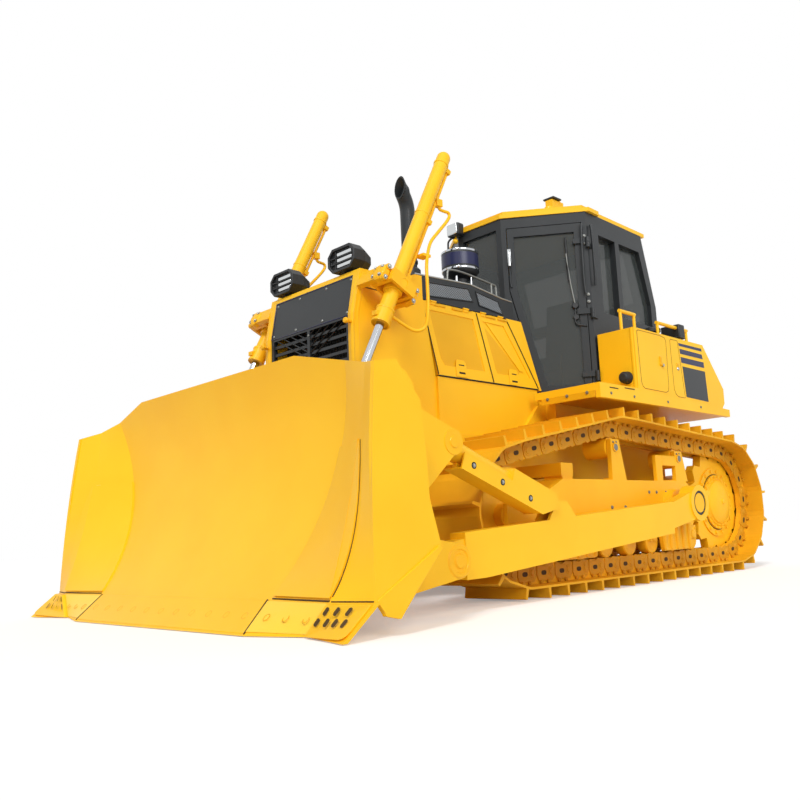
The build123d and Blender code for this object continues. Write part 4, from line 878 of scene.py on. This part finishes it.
bowl_axis = (0.12, -0.155)
bowl = piece("precleaner_bowl", plastic, [
    (turned, [(0, 2.235), (0.058, 2.235), (0.058, 2.4), (0.062, 2.432), (0.098, 2.448), (0.132, 2.468),
              (0.146, 2.492), (0.149, 2.512), (0.149, 2.64), (0.144, 2.655), (0.13, 2.668), (0.1, 2.676),
              (0.05, 2.678), (0, 2.679)], (*bowl_axis, 0), Z, 40),
] + [(bar, on_bowl(0.06, turn, 2.677), on_bowl(0.118, turn, 2.672), 0.006, 6) for turn in range(0, 360, 30)])
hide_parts("air_precleaner")
piece("precleaner_rings", chrome_rod, [
    (turned, [(0.14, -0.01), (0.1515, -0.008), (0.1535, 0), (0.1515, 0.008), (0.14, 0.01)],
     (*bowl_axis, z), Z, 40) for z in (2.505, 2.652)
] + [(bar, on_bowl(0.088, turn, 2.238), on_bowl(0.088, turn, 2.455), 0.01, 12) for turn in (20, 110, 200, 290)])
piece("precleaner_band", navy_film, [
    (turned, [(0.145, -0.05), (0.1506, -0.05), (0.1506, 0.05), (0.145, 0.05)], (*bowl_axis, 2.58), Z, 40),
])

# %% [markdown]
# ## Side covers
# Each gull-wing cover has hinge tabs at its top and a catch plate with slots at its lower edge. The
# rear cover is pressed with a slanting rib. Ribs are low prisms, and the slots are dark inlays.

# %% Catches, slots, ribs and hinge tabs
def cover_x(z, top_x):
    """How far out the leaning side of the hood is at a height, from its place at the top."""
    return top_x + (2.05 - z) * 0.0749


for part, y, low, hinges in (("front", -0.632, 1.6, (-0.79, -0.61)), ("rear", -0.045, 1.596, (-0.245, -0.105))):
    plate = [(y - 0.062, low - 0.075), (y - 0.052, low + 0.035), (y - 0.036, low + 0.052),
             (y + 0.03, low + 0.05), (y + 0.046, low + 0.034), (y + 0.06, low - 0.078)]
    pair(f"catch_plate_{part}", yellow,
         [(push_out, [(cover_x(z, 0.4825), along, z) for along, z in plate], (0.004, 0, 0))],
         f"cover_{part}_{{}}", 0.002)
    pair(f"catch_slots_{part}", deep_shade, [
        (slab, (cover_x(z, 0.4845), y - half, z - tall / 2), (cover_x(z, 0.4877), y + half, z + tall / 2))
        for z, half, tall in ((low + 0.012, 0.028, 0.008), (low - 0.046, 0.032, 0.014))
    ], f"cover_{part}_{{}}", 0.0005)
    pair(f"hinge_tabs_{part}", painted_shade_yellow, [
        (slab, (0.4795, at - 0.055, 2.026), (0.4905, at + 0.055, 2.044)) for at in hinges
    ], f"cover_{part}_{{}}", 0.003)
rib = [(-0.306, 1.984), (-0.276, 1.984), (0.086, 1.64), (0.04, 1.64)]
pair("cover_rib", yellow,
     [(push_out, [(cover_x(z, 0.4745), y, z) for y, z in rib], (0.0058, 0, 0))], "cover_rear_{}", 0.004)

# %% Recessed panels and shut lines
def edge_of(node, z, inside, outside):
    """Where a left cover ends along y at a height, found by halving."""
    for _ in range(14):
        middle = (inside + outside) / 2
        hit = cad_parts[node].ray_cast(Vector((1.2, middle, z)), Vector((-1, 0, 0)))
        if hit[0] and hit[1].x > 0.4:
            inside = middle
        else:
            outside = middle
    return inside


# painted shade: each recess gets a darker inlay for the shade that lies in it
for part, outline in (
        ("front", [(-0.9, 1.984), (-0.448, 1.984), (-0.378, 1.598), (-0.79, 1.598), (-0.822, 1.64)]),
        ("rear", [(-0.322, 1.95), (0.048, 1.64), (0.01, 1.598), (-0.236, 1.598), (-0.246, 1.62)])):
    corners = [touch(f"side_cover_{part}_left", (1.2, y, z), (-1, 0, 0))[0] for y, z in outline]
    pair(f"cover_panel_{part}", painted_shade_yellow, [(push_out, corners, (0.0012, 0, 0))], f"cover_{part}_{{}}")
line_pair(seam, "cover_shut_lines", deep_shade, [
    [(cover_x(z, 0.4835), edge_of(f"side_cover_{part}_left", z, inside, outside) + gap, z)
     for z in (2.04, 1.9, 1.75, 1.6, 1.522)]
    for part, inside, outside, gap in (("front", -0.6, -1.1, -0.003), ("front", -0.6, -0.2, 0.003),
                                       ("rear", -0.1, 0.4, 0.003))
], 0.0036)
line_pair(seam, "cover_sill_line", deep_shade,
          [[(0.5235, y, 1.5125) for y in (-0.872, -0.5, -0.1, 0.24)]], 0.0055)

# %% [markdown]
# ## Cab fittings
# Grab rods and a wiper with its motor and washer pipe stand by the door, and a work lamp and the
# mirror's arm hang from the roof. Bent round bar is the natural form for most of them, so they
# are curves with a round section.

# %% Door wiper, handles and pillar rods
def turn_to(bm, matrix):
    """Move what is made so far to its place."""
    bmesh.ops.transform(bm, verts=bm.verts[:], matrix=matrix)


for name, finish, run, radius, body in (
        ("wiper_blade", seal_rubber, [(0.667, 0.552, 2.8), (0.669, 0.554, 2.6), (0.672, 0.556, 2.43)],
         0.01, "door_{}"),
        ("wiper_arm", zinc_dull, [(0.668, 0.546, 2.66), (0.676, 0.556, 2.46), (0.694, 0.576, 2.26),
                                  (0.7, 0.58, 2.225)], 0.006, "door_{}"),
        ("washer_pipe", plastic, [(0.7, 0.577, 2.2), (0.692, 0.57, 2.1), (0.7, 0.574, 2.06),
                                  (0.735, 0.598, 2.045), (0.77, 0.622, 2.04)], 0.007, "door_{}"),
        ("pillar_rod", satin_black, [(0.792, 0.618, 2.9), (0.79, 0.612, 2.86), (0.784, 0.607, 2.6),
                                     (0.784, 0.607, 2.34), (0.79, 0.613, 2.3)], 0.011, "chassis"),
        ("pillar_grab", satin_black, [(0.826, 0.7, 2.9), (0.834, 0.7, 2.86), (0.836, 0.7, 2.6),
                                      (0.836, 0.7, 2.42), (0.826, 0.7, 2.38)], 0.013, "chassis"),
        ("door_grab", satin_black, [(0.3, 0.268, 2.55), (0.292, 0.262, 2.52), (0.292, 0.262, 2.44),
                                    (0.3, 0.268, 2.41)], 0.008, "door_{}")):
    line_pair(rod, name, finish, [run], radius, body)
pair("wiper_motor", plastic, [
    (bar, (0.688, 0.594, 2.215), (0.708, 0.567, 2.215), 0.03, 20, 0.024),
    (bar, (0.69, 0.594, 2.12), (0.706, 0.573, 2.12), 0.024, 18),
], "door_{}", 0.003)
pair("door_handle", lamp_silver, [
    (slab, (0.0, 0.0, 0.0), (0.03, 0.02, 0.12)),
    (bar, (0.015, -0.012, -0.035), (0.015, -0.012, 0.07), 0.012, 14),
    (bar, (0.015, -0.012, 0.07), (0.015, 0.01, 0.085), 0.011, 14),
    (turn_to, Matrix.Translation((0.29, 0.246, 2.62)) @ Matrix.Rotation(math.radians(37), 4, "Z")),
], "door_{}", 0.004)
pair("hinge_bolts", zinc_dull,
     [(bolt, (0.795, 0.638, z), (0.6, -0.8, 0), 0.018) for z in (2.8, 2.74, 2.3, 2.24, 2.16)], "door_{}")

# %% Cab lamp, marker ball, mirror arm and the stands of the roof
piece("cab_lamp", plastic, [(slab, (-0.3, 0.15, 2.985), (-0.165, 0.235, 3.1))], bevel=0.016)
piece("cab_lamp_face", lamp_silver, [(slab, (-0.29, 0.141, 2.995), (-0.175, 0.153, 3.09))], bevel=0.006)
piece("marker_ball", yellow, [
    (turned, [(0, 0.024), (0.012, 0.021), (0.021, 0.012), (0.024, 0), (0.021, -0.012), (0.012, -0.021),
              (0, -0.024)], (-0.235, 0.19, 2.945), Z, 20),
    (bar, (-0.235, 0.19, 2.965), (-0.235, 0.2, 2.99), 0.009, 12),
])
rod("cab_mirror_arm", satin_black, [
    [(-0.25, 0.235, 3.01), (-0.26, 0.18, 2.985), (-0.3, 0.17, 2.96), (-0.31, 0.17, 2.93),
     (-0.31, 0.17, 2.7)]], 0.009)
stands = (-0.5, 0.5)
piece("stand_plates", satin_black,
      [(slab, (x - 0.055, 0.585, 3.2015), (x + 0.055, 0.7, 3.2155)) for x in stands], bevel=0.002)
feet = []
for x in stands:
    feet += [(bar, (x, y, 3.09), (x, y, 3.13), 0.045, 20, 0.036) for y in (0.585, 0.755)]
    feet.append((slab, (x - 0.06, 0.55, 3.09), (x + 0.06, 0.79, 3.108)))
piece("stand_feet", yellow, feet, bevel=0.004)

# %% [markdown]
# ## Tanks and rear lamps
# The side tank's doors are marked by shut lines and a catch. Three bare films and a dark plate are
# stuck behind them. Films are thin plates on the wall.

# %% Films, shut lines, catches and rear lamps
wall = 1.165
pair("tank_films", navy_film, [
    flat([(1.366, 1.917), (1.768, 1.919), (1.776, 1.894), (1.372, 1.893)], wall, 0.0012),
    flat([(1.378, 1.869), (1.77, 1.866), (1.78, 1.826), (1.382, 1.826)], wall, 0.0012),
    flat([(1.385, 1.799), (1.79, 1.798), (1.794, 1.749), (1.389, 1.75)], wall, 0.0012),
])
pair("tank_plate", plate_film,
     [flat([(1.402, 1.72), (1.798, 1.717), (1.812, 1.45), (1.424, 1.46)], wall, 0.0014)])
door = [(0.713, 1.928), (0.735, 1.938), (1.06, 1.94), (1.14, 1.93), (1.158, 1.9), (1.14, 1.52),
        (1.128, 1.484), (1.09, 1.47), (0.77, 1.474), (0.736, 1.49), (0.722, 1.526), (0.713, 1.928)]
locker = [(1.225, 1.92), (1.24, 1.932), (1.345, 1.934), (1.352, 1.92), (1.402, 1.45), (1.29, 1.452),
          (1.25, 1.47), (1.228, 1.51), (1.225, 1.92)]
line_pair(seam, "tank_shut_lines", seam_yellow,
          [[(wall - 0.001, y, z) for y, z in run] for run in (door, locker)], 0.0032)
pair("tank_catches", painted_shade_yellow, [
    (slab, (wall - 0.002, 1.03, 1.7), (wall + 0.01, 1.052, 1.76)),
    (turned, [(0, 0.016), (0.016, 0.014), (0.02, 0.0), (0, 0.0)], (wall, 1.046, 1.7), X, 18),
    (slab, (wall - 0.002, 1.304, 1.702), (wall + 0.006, 1.336, 1.735)),
], bevel=0.002)
pair("tank_locks", zinc_bolt, [
    (turned, [(0, 0.018), (0.012, 0.016), (0.015, 0.0), (0, 0.0)], (wall, 1.066, 1.69), X, 16),
    (turned, [(0, 0.01), (0.012, 0.009), (0.016, 0.0), (0, 0.0)], (wall, 1.32, 1.69), X, 16),
])
# a round bar softens the tank's front corner
pair("tank_corner", yellow, [(bar, (1.139, 0.694, 1.452), (1.139, 0.694, 1.952), 0.0305, 24)])
pair("rear_lamp", plastic, [
    (bar, (1.015, 1.61, 1.953), (1.015, 1.61, 2.01), 0.018, 16),
    (slab, (0.93, 1.545, 2.0), (1.095, 1.64, 2.02)),
    (slab, (0.905, 1.56, 2.012), (1.085, 1.66, 2.132)),
], bevel=0.016)
pair("rear_lamp_face", lamp_silver, [(slab, (0.922, 1.655, 2.026), (1.068, 1.668, 2.118))], bevel=0.006)
pair("horn", plastic, [
    (turned, [(0, 0.0), (0.05, 0.004), (0.072, 0.02), (0.074, 0.045), (0.06, 0.052), (0.062, 0.062),
              (0.074, 0.068), (0.074, 0.096), (0.056, 0.108), (0, 0.112)], (0.9, 1.42, 2.0), Z),
    (bar, (0.9, 1.42, 1.953), (0.9, 1.42, 2.004), 0.024, 16),
])
pair("horn_ring", chrome_rod, [
    (turned, [(0.058, -0.004), (0.0765, -0.003), (0.0765, 0.003), (0.058, 0.004)], (0.9, 1.42, 2.032), Z),
])
pair("rubber_stop", stop_rubber, [
    (bar, (1.075, 0.668, 1.56), (1.075, 0.61, 1.56), 0.052, 24, 0.044),
    (bar, (1.075, 0.612, 1.56), (1.075, 0.598, 1.56), 0.04, 24, 0.028),
], bevel=0.003)

# %% [markdown]
# ## Fenders
# The fender's edge is a folded lip with bolts and slotted holes, and a plate is bolted on its
# front. They break up the long plain face as they do on the real one.

# %% Fender fittings
plate = [(1.15, 1.352), (1.15, 1.432), (0.66, 1.432), (0.66, 1.352)]
pair("fender_front_plate", painted_shade_yellow,
     [(push_out, [(x, 0.096, z) for x, z in plate], (0, -0.005, 0))], bevel=0.003)
pair("fender_bolts", zinc_dull, [(bolt, (x, 0.088, 1.392), AHEAD, 0.018) for x in (0.72, 0.9, 1.08)]
     + [(bolt, (1.195, y, 1.384), X, 0.016) for y in (0.23, 0.546, 1.05, 1.6)])
# painted shade: each slot is a thin dark slab for the shade in its hole
pair("fender_slots", painted_seam_shade, [
    (slab, (1.194, y0, z - 0.004), (1.1965, y1, z + 0.004))
    for y0, y1, z in ((0.215, 0.33, 1.426), (0.42, 0.56, 1.44))
])

# %% [markdown]
# ## Tracks
# A track chain shows a pin's end and two bolts at every link, and the sprocket carries a ring of
# bolts. Each is a small turned form repeated round the same path that the chain follows.

# %% The path of the chain's pins
LINKS = 43
sprocket, sprocket_r = Vector((0, 2.12, 0.594)), 0.44
idler, idler_r = Vector((0, -0.82, 0.524)), 0.37
crown = Vector((0, 0.381, 1.14))


def tangent(centre, radius, point, side):
    """Where the pin line from a point leaves a wheel."""
    reach = point - centre
    angle = math.atan2(reach.z, reach.y) + side * math.acos(radius / reach.length)
    return around(centre, radius, angle), angle


idler_off, idler_angle = tangent(idler, idler_r, crown, 1)
sprocket_on, sprocket_angle = tangent(sprocket, sprocket_r, crown, -1)
below = -math.pi / 2
# legs with two points are straight; the others are arcs: centre, radius, first and last angle
legs = [
    (around(sprocket, sprocket_r, below), around(idler, idler_r, below)),
    (idler, idler_r, below, idler_angle - 2 * math.pi),
    (idler_off, crown),
    (crown, sprocket_on),
    (sprocket, sprocket_r, sprocket_angle, below),
]
lengths = [(leg[1] - leg[0]).length if len(leg) == 2 else leg[1] * abs(leg[3] - leg[2]) for leg in legs]
pitch = sum(lengths) / LINKS
print("link pitch", round(pitch, 4))


def pin_place(s):
    """A point of the pin line at a distance along it."""
    s = s % sum(lengths)
    for leg, length in zip(legs, lengths):
        if s <= length:
            if len(leg) == 2:
                return leg[0].lerp(leg[1], s / length)
            centre, radius, first, last = leg
            return around(centre, radius, first + (last - first) * s / length)
        s -= length
    return legs[0][0]


# %% Links, pins and windows
link_shape = [(-0.042, -0.02), (-0.03, -0.05), (0.03, -0.056), (0.062, -0.042), (0.095, -0.04),
              (0.112, -0.054), (0.14, -0.052), (0.146, 0.02), (0.128, 0.058), (-0.018, 0.058), (-0.04, 0.03)]
plates, pins, windows = [], [], []
for i in range(LINKS):
    a, b = pin_place(i * pitch), pin_place((i + 1) * pitch)
    along = (b - a).normalized()
    out = Vector((0, -along.z, along.y))

    def on_link(u, v, x):
        """A point of this link: u along it and v out from its pins."""
        return a + along * u + out * v + Vector((x, 0, 0))

    plates.append((push_out, [on_link(u, v, 1.037) for u, v in link_shape], (0.009, 0, 0)))
    pins.append((turned, [(0, 0.008), (0.02, 0.008), (0.023, 0.003), (0.031, 0.003), (0.037, -0.002),
                          (0, -0.002)], on_link(0, 0, 1.046), X, 14))
    pins += [(bar, on_link(u, 0.05, 1.052), on_link(u, 0.072, 1.052), 0.013, 6) for u in (0.035, 0.112)]
    ends = [on_link(u, 0.006, 1.0455) for u in (0.088, 0.064)]
    windows.append((push_out, slot_rim(ends, along, out, 0.015), (0.0015, 0, 0)))
pair("chain_links", shaded_link_yellow, plates, bevel=0.002)
pair("chain_pins", shaded_link_yellow, pins)
# painted shade: each link's window is a dark inlay for the shade inside it
pair("chain_windows", painted_seam_shade, windows)

# %% Sprocket bolts, hub cover and carrier bolts
def at_hub(x, radius=0.0, turn=0.0):
    """A point about the sprocket's axis; turn runs from 0 to 1."""
    return around(Vector((x, sprocket.y, sprocket.z)), radius, 2 * math.pi * turn)


pair("hub_bolts", yellow_cast,
     [(bolt, at_hub(1.006, 0.226, i / 22), X, 0.02) for i in range(22)]
     + [(bolt, at_hub(0.989, 0.272, (i + 0.5) / 16), X, 0.026) for i in range(16)] + [
         (turned, [(0.196, -0.004), (0.2, 0.01), (0.208, 0.014), (0.213, 0.01), (0.218, -0.004)],
          at_hub(1.006), X, 48),
         (turned, [(0, 0.052), (0.09, 0.05), (0.15, 0.04), (0.188, 0.022), (0.2, 0.0), (0, 0.0)],
          at_hub(1.004), X, 48),
         (turned, [(0, 0.014), (0.022, 0.012), (0.026, 0.0), (0, 0)], at_hub(1.052), X, 20)])
pair("hub_shadow_rings", painted_seam_shade, [
    (turned, [(inner, -0.004), (inner, 0.0015), (inner + 0.007, 0.0015), (inner + 0.007, -0.004)],
     at_hub(x), X, 48) for inner, x in ((0.2395, 0.9895), (0.299, 0.966))
])
carrier = []
for y in (0.401, 1.34):
    top = touch("carrier_rollers", (1.062, y, 1.4), (0, 0, -1))[0].z
    carrier.append((turned, [(0, 0.012), (0.026, 0.012), (0.034, 0.0), (0, 0)], (1.079, y, top - 0.062), X, 20))
    carrier += [(bolt, (1.079, y + dy, top - 0.022), X, 0.012) for dy in (-0.02, 0.024)]
pair("carrier_bolts", zinc_dull, carrier)
pair("frame_bolts", zinc_dull, [(bolt, (1.08, y, 0.672), X, 0.018) for y in (0.835, 0.946, 1.094)]
     + [(bolt, (1.08, y, 0.56), X, 0.02) for y in (-0.42, -0.3, 0.3, 0.48, 1.3, 1.42)])
# the stand behind the front carrier roller, with an open window
pair("step_bracket", yellow_cast, [
    (slab, (1.04, 0.985, 0.745), (1.078, 1.08, 0.97)),
    (slab, (1.04, 1.075, 0.885), (1.078, 1.3, 0.97)),
    (slab, (0.99, 0.985, 0.745), (1.078, 1.42, 0.768)),
], bevel=0.006)

# %% [markdown]
# ## Roller guards and rollers
# Between the guards each bottom roller shows its flange and its shaft's end, held by a cap with
# two bolts. Rings are spun, and the caps are short blocks with softened edges.

# %% Roller caps and guard ribs
rollers = [-0.39 + i * 1.89 / 6 for i in range(7)]
pair("roller_caps", yellow_cast, [
    part for y in rollers for part in (
        (turned, [(0.06, -0.006), (0.088, -0.004), (0.09, 0.004), (0.074, 0.01), (0.06, 0.01)],
         (1.04, y, 0.294), X, 24),
        (slab, (1.048, y - 0.052, 0.292), (1.068, y + 0.052, 0.402)),
        (turned, [(0, 0.01), (0.03, 0.008), (0.038, 0.0), (0, 0.0)], (1.068, y, 0.33), X, 18))
], bevel=0.004)
pair("roller_bolts", yellow_cast,
     [(bolt, (1.068, y + dy, 0.378), X, 0.016) for y in rollers for dy in (-0.034, 0.034)])
ribs = [first + 0.055 + (last - first - 0.11) * k / 4
        for first, last in ((-0.435, 0.085), (0.94, 1.44)) for k in range(5)]
pair("guard_ribs", yellow_cast,
     [(bar, (1.088, y, 0.225), (1.088, y, 0.415), 0.016, 14, 0.024) for y in ribs], bevel=0.003)

# %% [markdown]
# ## Tilt cylinder guard
# Three bolts hold the guard's plate, each sunk in a dark counterbore.

# %% Guard bolts
strut_top = Vector((1.3, -1.682, 0.916))
strut_dir = (Vector((1.28, -0.662, 0.543)) - strut_top).normalized()
strut_down = strut_dir.cross(Vector(X)).normalized()
strut_side = strut_down.cross(strut_dir).normalized()
spots = [strut_top + strut_dir * along + strut_down * 0.052 + strut_side * 0.0795 for along in (0.21, 0.47, 0.74)]
piece("tilt_guard_bolts", zinc_bolt, [(bolt, spot, strut_side, 0.017) for spot in spots], "tilt_barrel")
piece("tilt_guard_counterbores", deep_shade, [
    (turned, [(0, 0.001), (0.02, 0.001), (0.021, -0.002), (0, -0.002)], spot, strut_side, 20) for spot in spots
], "tilt_barrel")

# %% [markdown]
# ## Behind the grille
# A radiator fills the guard behind the mesh. Its fins are too fine to see, so a dark core with
# tube rows is enough: it keeps the mesh reading as mesh against black.

# %% Radiator core
tubes = [-0.39 + 0.78 * i / 25 for i in range(26)]
piece("radiator_core", deep_shade, [(slab, (-0.4, -1.475, 1.3), (0.4, -1.44, 2.05))]
      + [(slab, (x - 0.004, -1.482, 1.31), (x + 0.004, -1.475, 2.04)) for x in tubes])

# %% [markdown]
# ## Closing
# The visual model's box is measured.

# %% Sizes and the end
low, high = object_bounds()
